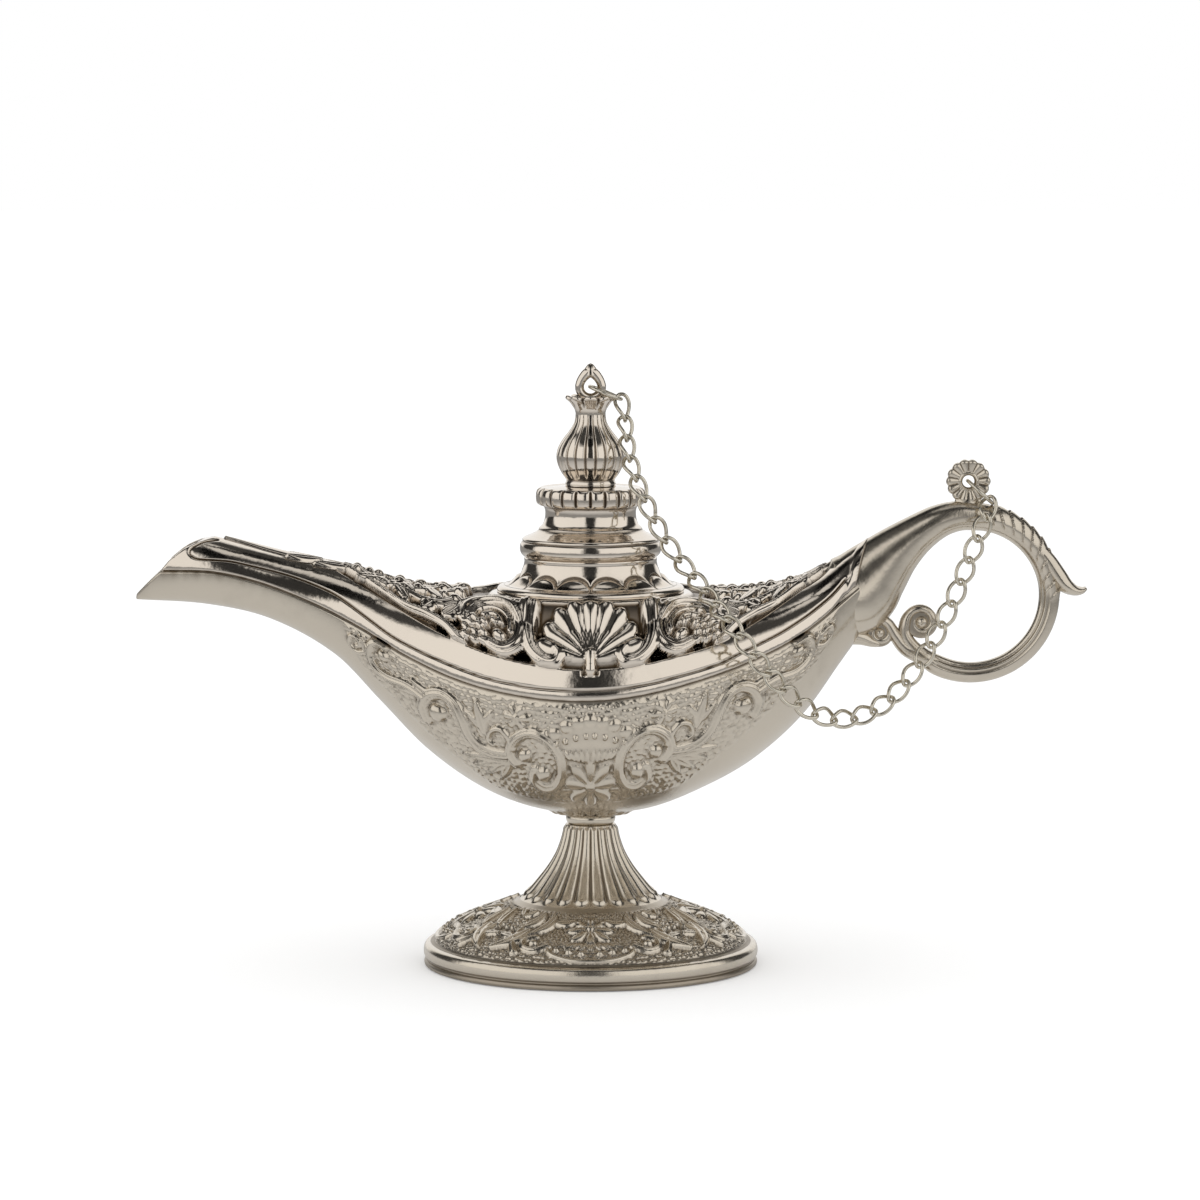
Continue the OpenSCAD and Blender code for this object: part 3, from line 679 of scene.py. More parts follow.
def pierced_relief(x, v):
    """Scrollwork. v runs up from the plain band."""
    field = Relief(np.abs(x), v, -0.8)
    # Palmette with its foot on the band
    field.fan(0, 1.6, 11.4, 15.6, 2, 178, 9, 1.35)
    field.stroke([(0, 3.4), (0.1, 1.6), (0, -0.4)], 1.1, 1.3, ends=(0.8, 1.1))
    field.ball(0, 0.2, 1.25, 1.4)
    # Hook between palmette and scroll
    hook = [(12.6, 17.4), (13, 11.6), (13.2, 7), (12.2, 3), (9.8, 1), (7.4, 1), (6.4, 2.6), (7.2, 4)]
    field.stroke(hook, 1.6, 1.45, ends=(1.3, 0.75), groove=0.3)
    # Big curling scroll with its combed edge
    curl = [(26.6, 6.4), (26.2, 10.4), (24, 14), (20.6, 15.6), (17, 14.6), (14.8, 11.4), (14.2, 7.6),
            (15.2, 3.8), (18, 1.6), (20.8, 2)]
    field.stroke(curl, 1.9, 1.5, ends=(1, 0.8), groove=0.45)
    field.stroke([(24.6, 8.6), (23.4, 11.8), (20.6, 13), (18.2, 12), (16.8, 9.4), (16.8, 6.4)], 0.7, 0.9)
    field.stroke([(22.6, 9.6), (20.9, 10.9), (19.4, 10.3), (18.6, 8.4)], 0.6, 0.8)
    field.ball(19, 4.6, 1.6, 1.6)
    field.ball(20.2, 8.4, 1.1, 1.2)
    # Grapes
    for du, dv in ((0, 0), (2, 0.3), (-1.9, 0.5), (1, 2), (-0.9, 2.1), (3, 2.2), (0.1, -1.9), (1.9, -1.6),
                   (-1.7, -1.5), (2, 3.9), (0.1, 4), (-1.9, 3.6)):
        field.ball(24.2 + du, 3.6 + dv, 1.12, 1.35)
    # Acanthus that runs out along the band, with berries over it
    runner = [(27.4, 0.4), (30.6, 2.4), (34.9, 2.6), (39.2, 1.6), (43.6, 2.1), (48, 2.6), (52.5, 2.6)]
    field.stroke(runner, 1.4, 1.2, ends=(1.1, 0.45), groove=0.35)
    branch = [(28, 12.6), (31.4, 8.4), (35.6, 6.6), (40.2, 6.6), (44, 7.6)]
    field.stroke(branch, 1.3, 1.2, ends=(1.2, 0.6), groove=0.35)
    field.stroke(volute(44.2, 5.4, 2.2, 90, -1.2), 0.8, 1.1, ends=(1, 0.7))
    field.ball(44.2, 5.4, 0.9, 1.3)
    for base, tip, w in (
            ((31, 4), (27.6, 9.4), 1.7), ((35.4, 3.4), (32.8, 9), 1.7), ((38.6, 2.6), (42, 7.4), 1.5),
            ((45.8, 3.4), (50.6, 5.4), 1.3), ((31.4, 9.2), (36, 14.6), 1.8), ((37.4, 7.4), (41.4, 12), 1.6)):
        field.leaf(base, tip, w, 1.3)
    for u0, v0, r in ((28.4, 12.2, 1.7), (28, 17, 1.6), (33, 18, 1.5), (36.6, 10.6, 1.4), (47.4, 6.6, 1.2)):
        field.ball(u0, v0, r, 1.7)
        field.ball(u0 + 1.6 * r, v0 + 0.7 * r, 0.75 * r, 1.3)
    field.settle()
    # Voids that go right through
    for u0, v0, ru, rv in (
            (5, 2.6, 3.2, 1.6), (10.4, 5.6, 1, 1.8), (14.6, 1.4, 1.8, 1.2), (30, 1.7, 3.4, 1.2),
            (29.4, 5.2, 1.2, 1.5), (22.6, 1.4, 1.4, 0.9), (13.6, 14.6, 0.8, 1.6), (33.4, 5.2, 1.4, 0.9),
            (12.9, 10, 0.6, 2), (36.6, 4.4, 1.2, 0.6)):
        s = np.hypot((np.abs(x) - u0) / ru, (v - v0) / rv)
        sink = -3.2 * smoothstep(1.5, 0.8, s)
        field.h = np.where(field.above > -0.6, field.h, np.minimum(field.h, sink))
    return field.h


def spine_relief(x, ridge):
    """Leaves and berries along the middle line, out to both ends."""
    field = Relief(x, ridge)
    field.leaf((-53, 0), (-78, 0), 2.4, 0.65, 0.1)
    for k, length in enumerate((9, 8)):
        field.leaf((-50 - 7 * k, 0.6), (-50 - 7 * k - length, 3.4 - 0.4 * k), 1.4, 1)
    for k in range(6):
        field.ball(-27 - 4.6 * k, 1.8 * (k % 2), 1.75 - 0.1 * k, 1.8)
    for k in range(5):
        field.ball(26 + 4.2 * k, 1.8 * (k % 2), 1.7 - 0.1 * k, 1.8)
    field.leaf((45, 0), (53, 0), 1.9, 0.8, 0.2)
    for k in range(4):
        field.leaf((-26 - 6 * k, 2), (-32 - 6 * k, 6.6 - 0.5 * k), 1.7, 1.3)
    for k in range(4):
        field.leaf((25 + 5.4 * k, 2), (30.6 + 5.4 * k, 6.2 - 0.5 * k), 1.6, 1.3)
    return field.settle(), field.above


def make_cover():
    x = stations(-SR, -56, 53, NR, 0.45, 0.34)
    share = np.linspace(0, 1, 130)
    gx, y, z, _ = body_grid(x, share, 0, True)
    # The tail of the cover is a tongue that laps over the neck
    lap = smoothstep(NR - 7, NR, gx) * (3.4 * share[None, :] ** 1.3 - 1.2)
    gx = gx + lap
    z = z + 0.62 * np.maximum(lap, 0)
    # Shoulder that rises to the collar's seat
    r = np.hypot(gx, y)
    z = z + (SEAT_Z - 0.1 - z) * smoothstep(SHOULDER_FROM, SHOULDER_R, r)
    step = np.hypot(np.diff(y, axis=1), np.diff(z, axis=1))
    travel = np.concatenate([np.zeros((len(x), 1)), np.cumsum(step, 1)], 1)
    ridge = travel[:, -1:] - travel
    to_groove, to_pierced = [
        np.array([np.interp(at, z[i], travel[i]) for i, at in enumerate(line(gx[:, 0]))])[:, None]
        for line in (groove_line, pierced_line)]
    v = travel - to_pierced
    # Plain bands: one swells between joint and groove, the other is flat with a crisp edge
    k = np.clip(travel / np.maximum(to_groove, 0.4), 0, 1)
    plain = 0.1 * np.sin(math.pi * k) ** 0.7 * (to_groove > 0.8)
    lines = Relief(gx, z)
    groove_x = [
        -80, -76, -71.5, -66, -62, -57, -53, -47, -42, -37, -32, -26, -21, -16, -11, -6, -1, 4, 9, 14, 19, 24,
        28, 32, 36, 40, 44, 47, 51, 54]
    main_groove = [(-79, 91.2), (-82, 90.9), (-84.3, 89.8), (-84.8, 88.5), (-83.3, 87.5)]
    main_groove += [(q, float(groove_line(q))) for q in groove_x]
    lines.cut(main_groove, 0.2, 0.42, 4)
    ornament = pierced_relief(gx, v)
    spine, spine_above = spine_relief(gx, ridge)
    region = smoothstep(-0.5, 0.1, v) * smoothstep(-56, -53, gx) * smoothstep(53, 50, gx)

    under_collar = smoothstep(SHOULDER_R + 1.2, SHOULDER_R, r)
    foot = (np.abs(gx) < 1.6) & (v > -1.6)
    region = np.where(foot, 1, region)
    h = plain + lines.h
    h = h * (1 - region) + ornament * region
    h = np.where(spine_above > 0.05, np.maximum(h, spine), h)
    h = h * (1 - under_collar)
    h = h - 0.3 * np.exp(-(travel / 0.25) ** 2)
    h = h + 0.4 * smoothstep(NR - 2.4, NR - 1.4, gx - lap)
    points, h, travel, v, r, lines_h = mirrored(gx, y, z, h, travel, v, r, lines.h)
    normal = grid_normals(points)
    flip = np.sign(np.sum(normal * (points - np.array([0, 0, 60])), -1).mean())
    outer = points + normal * flip * h[..., None]
    # Painted shade in the relief's recesses, in the sunk ground and voids of the openwork, and along the cut
    # groove
    dark = hollow(h, 2, 1.1) + 0.8 * smoothstep(-0.15, -0.75, h) + 1.2 * smoothstep(-0.1, -0.4, lines_h)
    px = points[..., 0]
    seam = np.exp(-(travel / 0.35) ** 2) * (0.55 + 0.25 * np.sin(px * 1.3) * np.sin(px * 0.37))
    centre = np.minimum(h[:-1, :-1], np.minimum(h[1:, 1:], np.minimum(h[1:, :-1], h[:-1, 1:])))
    keep = (centre > -2.5) & (r[:-1, :-1] > MOUTH_R + 1.2)
    shape = Shape()
    shape.grid(outer, keep=keep, dark=np.clip(dark + seam, 0, 1))
    tail = outer[-1:]
    sunk = tail - normal[-1:] * flip * 1.5
    # Sunk edge of the tongue, darkened with painted shade
    shape.grid(np.concatenate([tail, tail + [0.15, 0, 0], sunk]), dark=0.5)
    ix = stations(-SR + 0.6, -60, -56, -54, 1.2, 1.2)
    gx, y, z, _ = body_grid(ix, share, WALL, True)
    inner, = mirrored(gx, y, z)
    # Painted shade over the inside of the cover
    shape.grid(inner, dark=0.7)
    shape.grid(rim(outer[0], inner[0], (-0.35, 0, 0)))
    shape.make("cover_casting", POLISHED, "root", ["cover"])


make_bowl()
make_cover()


# Foot: rim, chased skirt and reeded stem
def skirt_relief(angle, r):
    """Ornament of the skirt in four quarters, each mirrored about its middle. r is the radius."""
    quarter = (angle + math.pi / 4) % (math.pi / 2) - math.pi / 4
    across = np.abs(quarter) * 24
    field = Relief(across, r)
    field.flower(0, 23.6, 5.2, 8, 1, 1.05)
    for k in range(3):
        field.ball(1.5 + 2.1 * k, 31.2 - 0.4 * k, 0.55, 0.8)
    field.stroke([(0, 32.8), (3.4, 32.6), (6.4, 31.4), (7.6, 29.6)], 0.45, 0.6)
    for k in range(5):
        field.leaf((0.2 + 0.5 * k, 28), (0.4 + 1.35 * k, 30.4 - 0.25 * k), 0.45, 0.5, 0)
    field.stroke([(7.4, 29.4), (9.4, 30.8), (11.6, 30.2), (12.2, 28), (10.6, 26.6)], 0.8, 0.9, groove=0.2)
    field.ball(10.4, 28.6, 0.9, 0.9)
    field.leaf((3, 19.6), (9.6, 20.6), 1.3, 0.9, 0.3, 0.8)
    field.leaf((9.4, 18), (12.4, 26.4), 1.5, 1, 0.3, 1)
    field.leaf((12.8, 17.6), (16.6, 25), 1.5, 1, 0.3, 0.8)
    field.leaf((12.8, 24), (17.6, 31.6), 1.7, 1, 0.3, 0.8)
    field.stroke([(13.6, 19), (15, 24), (14.4, 28.6), (12.8, 31.6)], 0.8, 0.9, ends=(0.6, 1), groove=0.2)
    field.leaf((15.2, 27.4), (18.8, 26.6), 1.1, 0.8)
    field.rosebud(17.6, 22.4, 0.8, 5, 0.8)
    field.leaf((16, 17.2), (18.8, 19.8), 1, 0.8)
    ornament = field.settle()
    ground = pebbles(across + 3, r, 0.85, 0.24, 9)
    edge = smoothstep(16.2, 17, r) * smoothstep(33.6, 33, r)
    return np.where(ornament > 0.03, ornament, ground) * edge


def make_foot():
    around = 900
    skirt = smooth_path([
        (15.2, 13.9), (18.4, 12.1), (22.5, 10.5), (27.6, 8.6), (31.2, 6.8), (33.4, 5.1)], 17)
    r = skirt[:, :1] + np.zeros(around)
    h = skirt_relief(turn(around) + np.zeros_like(r) - math.pi / 2, r)
    points = lathe(skirt, around)
    normal = grid_normals(points, True)
    flip = np.sign(normal[..., 2].mean())
    shape = Shape()
    # Painted shade in the skirt's recesses and over its low pebbled ground
    dark = hollow(h, 2, 1.9, True) + 0.35 * smoothstep(0.3, 0, h)
    shape.grid(points + normal * flip * 1.25 * h[..., None], True, dark=np.clip(dark, 0, 1) * 0.85)
    edge = smooth_path([
        (33.4, 5.1), (33.8, 4.75), (34.4, 4.7), (34.4, 4.7), (35.3, 4.4), (35.75, 3.6), (35.8, 2.4),
        (35.5, 1.7), (35.1, 1.5), (35.1, 1.5), (35.1, 1.2), (35.5, 1), (35.7, 0.5), (35.6, 0.05),
        (35.4, 0), (35.4, 0),
        (33, 0), (33, 0), (32.8, 2.4), (32.8, 2.4), (27, 6), (16, 9.2), (4, 9.2), (4, 9.2), (4, 26.4),
        (4, 26.4), (2.2, 26.4)], 4)
    # Painted shade under the rim's bead, over the foot's underside and in the step between skirt and rim
    rim_dark = np.where((edge[:, 1] < 1.9) & (edge[:, 0] > 34.9), 0.5, 0.0)
    rim_dark = rim_dark + np.where(edge[:, 0] < 32.9, 0.5, 0)
    rim_dark = rim_dark + np.where(np.hypot(edge[:, 0] - 33.8, edge[:, 1] - 4.7) < 0.5, 0.6, 0)
    shape.grid(lathe(edge, 240), True, dark=rim_dark[:, None])

    stem = smooth_path([
        (15.4, 13.7), (13.9, 14.6), (12.4, 15.9), (10.4, 18.4), (8.6, 20.9), (7, 23.8), (5.95, 26.8),
        (5.45, 29.2), (5.35, 29.9)], 7)
    stem_around = STEM_FLUTES * 16
    phase = np.abs(np.cos(turn(stem_around) * STEM_FLUTES / 2))
    height = stem[:, 1:2]
    reed = np.sqrt(np.maximum(0, phase - 0.12)) - 0.35
    fade = smoothstep(30, 29, height) * smoothstep(13.9, 14.9, height - 0.9 * (1 - phase))
    depth = 0.075 * stem[:, :1] + 0.2
    reeds = lathe(stem, stem_around)
    normal = grid_normals(reeds, True)
    flip = np.sign(np.sum(normal[..., :2] * reeds[..., :2], -1).mean())
    # Painted shade in the grooves between the reeds
    stem_dark = smoothstep(0.38, 0.02, phase) * 0.85 * fade
    shape.grid(reeds + normal * flip * (reed * depth * fade)[..., None], True, dark=stem_dark)
    cap = smooth_path([(5.35, 29.9), (5.2, 30), (5.2, 30), (2.2, 30), (2.2, 30), (2.2, 26.4)], 2)
    shape.grid(lathe(cap, 64), True)
    shape.make("foot_casting", SATIN, "root", ["foot"])


make_foot()


def make_knop():
    shape = Shape()
    profile = smooth_path([
        (2.2, 30), (2.2, 30), (4.4, 30.02), (5, 30.3), (5.25, 30.9), (5.3, 31.4), (5.1, 32), (4.6, 32.35),
        (4.6, 32.35), (4.9, 32.6), (4.9, 32.6), (2.2, 32.6)], 5)
    # Painted shade in the step at the knop's top
    dark = np.where(np.abs(profile[:, 1] - 32.35) < 0.12, 0.6, 0)[:, None]
    shape.grid(lathe(profile, 96), True, dark=dark)
    shape.make("knop_ring", SATIN, "root", ["knop"])


make_knop()


# Collar with its scallops
def make_collar():
    shape = Shape()
    cone = smooth_path([
        (11.5, 77), (11.5, 77), (11.5, 87.5), (11.5, 87.5), (13.9, 87.5), (13.9, 87.5), (14.15, 87.1),
        (14.1, 86.4), (14.3, 85.4), (14.8, 84.2), (15.6, 82.9), (16.8, 81.8), (17.6, 81.5), (18.6, 81.45),
        (18.6, 81.45), (19.5, 81.2), (19.95, 80.6), (19.9, 80)], 8)
    around = COLLAR_SCALLOPS * 40
    r = cone[:, :1]
    z = cone[:, 1:2]
    phase = (turn(around) * COLLAR_SCALLOPS / TAU + 0.5) % 1 * 2 - 1
    gap = 81.5 + 2.4 * np.sqrt(np.maximum(0, 1 - phase ** 2)) - z
    outside = (r > 13.95) & (z < 86) & (z > 81.3) & (r < 18)
    petal = 0.55 * smoothstep(-0.05, 0.5, gap) - 0.5 * np.exp(-((gap + 0.15) / 0.22) ** 2)
    # Painted shadow: a dark line under the scallops' edges, and painted shade in a ring at the collar's foot
    dark = np.where(outside, 0.9 * np.exp(-((gap + 0.15) / 0.25) ** 2), 0.0)
    dark = dark + 0.5 * np.exp(-((r - 18.1) / 0.35) ** 2) * (z < 82)
    shape.grid(lathe(cone, around, np.where(outside, petal, 0)), True, dark=dark)
    underside = np.array([(19.9, 80), (12.6, 80), (12.6, 77), (11.5, 77)])
    # Painted shade under the collar
    shape.grid(lathe(underside, 96), True, dark=0.4)
    shape.make("collar_ring", POLISHED, "root", ["collar"])


make_collar()


# Lid with its ring of beads
def make_lid():
    shape = Shape()
    around = LID_BEADS * 22
    body = smooth_path([
        (9.8, 83.5), (9.8, 83.5), (11.2, 83.5), (11.2, 83.5), (11.2, 87.5), (11.2, 87.5), (13.9, 87.55),
        (14.6, 87.9), (15, 88.7), (15, 89.7), (14.8, 90.4), (14.4, 90.75), (14.4, 90.75), (14.5, 91.1),
        (14.2, 91.5), (13.2, 91.9), (11.8, 92.6), (11, 93.2), (11, 93.2), (10.9, 93.6), (10.2, 94.3),
        (9.8, 95.3), (9.65, 96.4), (9.7, 97.4), (9.9, 98), (9.9, 98), (10.3, 98.3), (10.3, 98.3)], 6)
    # Dark rings in the turning: height, depth of shade and width
    ring_dark = 0
    for height, shade, width in ((90.75, 0.7, 0.2), (93.3, 0.5, 0.25), (98.1, 0.6, 0.3)):
        ring_dark = ring_dark + shade * np.exp(-((body[:, 1:2] - height) / width) ** 2)
    shape.grid(lathe(body, 192), True, dark=ring_dark)
    beads = smooth_path([
        (10.3, 98.3), (10.9, 98.45), (11.3, 98.9), (11.45, 99.7), (11.45, 100.5), (11.35, 101.3), (11, 101.9),
        (10.6, 102.2), (10.6, 102.2), (10.2, 102.15), (9.2, 102.05), (6, 102.4), (1.7, 102.5), (1.7, 102.5),
        (1.7, 100.9), (1.7, 100.9), (9.4, 100.7), (8.3, 98), (8.3, 94.9), (9.3, 92.4), (9.8, 90),
        (9.8, 83.5)], 7)
    phase = np.abs(np.cos(turn(around) * LID_BEADS / 2))
    r = beads[:, :1]
    z = beads[:, 1:2]
    zone = smoothstep(98.3, 98.8, z) * smoothstep(102.25, 101.7, z) * (r > 10.55)
    ripple = (np.sqrt(np.maximum(0, 1 - (1 - phase) ** 2)) - 0.86) * 1.15 * zone
    # Painted shade between the beads
    shape.grid(lathe(beads, around, ripple), True, dark=0.95 * smoothstep(0.4, 0.08, phase) * zone)
    shape.make("lid_cap", POLISHED, "lid", ["lid"])


make_lid()


# Finial: fluted bulb, petal crown and eye
def make_finial():
    shape = Shape()
    t = LID_TOP
    bulb = smooth_path([
        (1.5, t), (1.5, t), (5.1, t), (5.35, t + 0.3), (5.3, t + 0.8), (5.1, t + 1.2), (5.1, t + 1.2),
        (5.5, t + 1.8), (6.3, t + 3), (7, t + 4.6), (7.25, t + 6.3), (6.9, t + 8.1), (5.9, t + 9.9),
        (4.5, t + 11.7), (3.5, t + 13.4), (3.2, t + 15), (3.25, t + 16)], 7)
    around = BULB_FLUTES * 18
    phase = np.abs(np.cos(turn(around) * BULB_FLUTES / 2))
    z = bulb[:, 1:2] - t
    zone = smoothstep(1.7, 2.8, z) * smoothstep(16, 13, z)
    flute = -0.085 * bulb[:, :1] * zone * np.exp(-(phase / 0.3) ** 2)
    # Painted shade in the flutes and in the step at the bulb's foot
    dark = 0.9 * zone * np.exp(-(phase / 0.22) ** 2) + 0.5 * np.exp(-((z - 1.2) / 0.2) ** 2)
    shape.grid(lathe(bulb, around, flute), True, dark=dark)
    crown = smooth_path([
        (3.2, t + 15.6), (3.5, t + 16.4), (4.2, t + 17.2), (5, t + 17.7), (5.35, t + 18.2), (5.1, t + 18.7),
        (4.4, t + 18.7), (3.4, t + 18.3), (2.4, t + 18.6), (0.01, t + 18.8)], 6)
    around = 240
    petal = np.abs(np.cos(turn(around) * CROWN_PETALS / 2))
    r = crown[:, :1]
    flare = smoothstep(3.4, 5, r)
    points = lathe(crown, around, -(1.5 * flare) * (1 - petal ** 0.5))
    points[..., 2] += 0.5 * flare * petal
    # Painted shade between the crown's petals and under them
    shape.grid(points, True, dark=0.8 * flare * smoothstep(0.45, 0.1, petal) + 0.3 * (r < 3.3))
    # Eye: a loop that is thicker at its top, with a drop-shaped tip and a foot
    a = np.arange(48) * TAU / 48
    top = np.maximum(0, np.sin(a)) ** 3
    cx = 2.35 * np.cos(a) * (1 - 0.12 * top)
    cz = 2.35 * np.sin(a) + 0.75 * top
    run = np.stack([np.roll(cx, -1) - np.roll(cx, 1), np.roll(cz, -1) - np.roll(cz, 1)], 1)
    run = run / np.linalg.norm(run, axis=1, keepdims=True)
    out = (0.95 + 0.25 * top)[:, None] * np.cos(turn(16))
    width = 1.1 * np.sin(turn(16)) + np.zeros_like(out)
    eye = np.stack([cx[:, None] + run[:, 1:] * out, width, EYE_Z + cz[:, None] - run[:, :1] * out], -1)
    shape.grid(np.concatenate([eye, eye[:1]]), True)
    tip = smooth_path([
        (1.7, EYE_Z + 2.6), (1.5, EYE_Z + 3.4), (1.1, EYE_Z + 4.1), (0.55, EYE_Z + 4.75),
        (0.01, EYE_Z + 5)], 5)
    drop = lathe(tip, 32)
    drop[..., 1] *= 0.72
    shape.grid(drop, True)
    foot = smooth_path([(3, EYE_Z - 3.4), (2.2, EYE_Z - 2.9), (1.4, EYE_Z - 2.3), (0.01, EYE_Z - 2.1)], 4)
    shape.grid(lathe(foot, 32), True)
    shape.make("finial_turning", POLISHED, "lid", ["finial"])


make_finial()


# Handle: one bar from the neck round the ring, with its leaf, thumb rest, volutes and rosette
def bar(shape, path, sides, dark=0.0, swell=0.0):
    """Closed bar in the middle plane. A row of path is x, z and half sizes in the plane and along Y."""
    run = np.gradient(path[:, :2], axis=0)
    run = run / np.linalg.norm(run, axis=1, keepdims=True)
    up = (path[:, 2:3] + swell) * np.cos(turn(sides))
    out = (path[:, 3:4] + swell) * np.sin(turn(sides))
    points = np.stack([path[:, :1] - up * run[:, 1:], out, path[:, 1:2] + up * run[:, :1]], -1)
    shape.grid(points, True, dark=dark)
    for row in (points[0], points[-1]):
        middle = np.repeat(row.mean(0)[None], sides, 0)
        shape.grid(np.stack([row, middle]), True)


def curl(x, z, r, start, sweep, tight, half, thin, first):
    """Rows for a bar that winds in round a centre. tight and thin say what is lost on the way."""
    rows = []
    for k in range(first, 15):
        t = k / 14
        a = math.radians(start - sweep * t)
        q = r * (1 - tight * t)
        rows.append((x + q * math.cos(a), z + q * math.sin(a), half[0] - thin[0] * t, half[1] - thin[1] * t))
    return rows


def ring_point(degrees):
    a = math.radians(degrees)
    return RING_X + RING_R * math.cos(a), RING_Z + RING_R * math.sin(a)


def make_handle():
    shape = Shape()
    neck = [(48, 76.5, 5.6, 7.4), (52, 77.6, 7.4, 7.4), (55.5, 79, 8.9, 6.9), (58, 81, 8.6, 6.2),
            (61, 84.3, 7.3, 5.4), (65, 88.4, 5.6, 4.6), (69.4, 92, 4.3, 4), (74, 94.8, 3.6, 3.6),
            (78.4, 96, 3.2, 3.2)]
    rows = list(neck)
    for i in range(33):
        t = i / 32
        half = (RING_BAR / 2 + 0.75 * max(0, 1 - t * 3)) * min(1, 0.3 + 7 * (1 - t))
        rows.append((*ring_point(RING_FROM + (RING_TO - RING_FROM) * t), half, half))
    path = smooth_path(rows, 8)
    first = len(neck) * 8
    along = np.clip((np.arange(len(path)) - first) / (len(path) - first), 0, 1)
    sides = 72
    b = turn(sides)
    reeded = smoothstep(0.3, 0.42, along)[:, None]
    # Two grooves run round each face of the bar, nearer its inner side
    swell = np.zeros((len(path), sides))
    for centre in (-0.1, -0.62):
        swell = swell - 0.38 * reeded * np.exp(-((np.cos(b) - centre) / 0.13) ** 2)
    # Leaf lobes lie over the ring's shoulder
    leaf_zone = smoothstep(0.02, 0.06, along) * smoothstep(0.4, 0.34, along)
    slant = along[:, None] * 26 + np.cos(b) * 0.9
    lobe = 1 - (slant % 1)
    cover = smoothstep(0.35, 0.6, np.cos(b) * 0.5 + 0.5 + 0.12 * lobe)
    swell = swell + leaf_zone[:, None] * cover * (0.5 * np.sqrt(np.clip(lobe, 0, 1)) - 0.05)
    # Painted shade in the grooves and between the leaf lobes
    dark = hollow(swell, 2, 3.2, True)
    bar(shape, path, sides, np.clip(dark, 0, 0.8), swell)
    # Thumb rest: a leaf that peels off the ring and curls up
    thumb = smooth_path([
        (91.6, 92.2, 1, 1.7), (94.6, 89.7, 1.5, 2.3), (97.2, 86.8, 1.8, 2.6), (99.3, 83.6, 2, 2.9),
        (101, 81.4, 1.8, 3.1), (103, 80.2, 1.25, 3.1), (104.6, 80.1, 0.8, 2.4), (105.6, 80.6, 0.35, 1.2)], 7)
    b = turn(40)
    crease = -0.3 * np.exp(-(np.sin(b) / 0.25) ** 2) * (np.cos(b) > 0)
    fade = smoothstep(0, 0.4, np.linspace(0, 1, len(thumb)))[:, None]
    bar(shape, thumb, 40, swell=crease * fade)
    # The ring's lower end splits into two volutes that brace it against the neck
    split = [(*ring_point(-116), 1.8, 2), (*ring_point(-127), 1.9, 2)]
    upper = split + [(68.6, 68, 1.6, 1.8), (67, 70.6, 1.4, 1.6), (67.2, 73.6, 1.25, 1.5)]
    upper += curl(70.5, 73.4, 3.1, 168, 385, 0.6, (1.05, 1.3), (0.4, 0.5), 1)
    lower = split + [
        (67.3, 67.6, 1.6, 1.8), (65, 70.4, 1.4, 1.6), (63.2, 73.1, 1.2, 1.4), (60.6, 74, 1.4, 1.6),
        (57.6, 73.2, 1.9, 1.9), (56.4, 72.6, 2, 1.9)]
    inner = [(63.6, 72.6, 1, 1.3)] + curl(61.6, 71, 2.5, 70, 330, 0.62, (0.95, 1.25), (0.3, 0.45), 2)
    root = [(55.6, 70.6, 2.2, 2.2), (57.8, 70, 1.7, 2), (60, 69, 1.1, 1.5), (61.6, 68.6, 0.7, 1)]
    for rows, steps in ((upper, 5), (lower, 6), (inner, 5), (root, 5)):
        bar(shape, smooth_path(rows, steps), 24)
    for cx, cz, r in ((70.5, 73.3, 1.5), (61.6, 71, 1.3)):
        outline = smooth_path([
            (0.01, -0.8), (2 * r, -0.75), (2.3 * r, -0.4), (2.3 * r, 0.4), (2 * r, 0.75), (0.01, 0.8)], 4)
        web = lathe(outline, 40)
        # Painted shade on the webs inside the volutes
        shape.grid(np.stack([cx + web[..., 0], web[..., 2], cz + web[..., 1]], -1), True, dark=0.3)
        rise = np.linspace(-1.55, 1.55, 15)
        ball = lathe(np.stack([r * np.cos(rise), r * np.sin(rise)], 1), 24)
        shape.grid(np.stack([cx + ball[..., 0], 1.25 * ball[..., 2], cz + ball[..., 1]], -1), True)
    # Rosette: radial petals on both faces round the chain's hole
    profile = smooth_path([
        (1.3, -0.6), (1.3, -0.6), (1.3, 0.6), (1.3, 0.6), (1.7, 0.95), (2.1, 0.75), (3.2, 0.95), (4.1, 1.05),
        (4.55, 0.8), (4.75, 0), (4.55, -0.8), (4.1, -1.05), (3.2, -0.95), (2.1, -0.75), (1.7, -0.95),
        (1.3, -0.6)], 5)
    disc = lathe(profile, ROSETTE_PETALS * 16)
    wave = np.abs(np.cos(turn(ROSETTE_PETALS * 16) * ROSETTE_PETALS / 2))
    rr = profile[:, :1]
    face = smoothstep(1.9, 2.4, rr)
    disc[..., 2] *= 1 + face * (0.35 * wave ** 0.7 - 0.25)
    disc[..., :2] *= (1 - smoothstep(4, 4.6, rr) * 0.07 * (1 - wave))[..., None]
    rosette = np.stack([ROSETTE_X + disc[..., 0], disc[..., 2], ROSETTE_Z + disc[..., 1]], -1)
    # Painted shade between the rosette's petals
    shape.grid(rosette, True, dark=0.8 * face * smoothstep(0.4, 0.1, wave) * smoothstep(4.7, 4.2, rr))
    pad = smooth_path([
        (ROSETTE_X - 0.4, ROSETTE_Z - 8.6, 3.2, 2.4), (ROSETTE_X - 0.2, ROSETTE_Z - 6.4, 2.9, 1.8),
        (ROSETTE_X, ROSETTE_Z - 4, 2.8, 1.1), (ROSETTE_X, ROSETTE_Z - 2.4, 2.4, 0.8)], 5)
    bar(shape, pad, 32)
    shape.make("handle_casting", SATIN, "root", ["handle"])


make_handle()

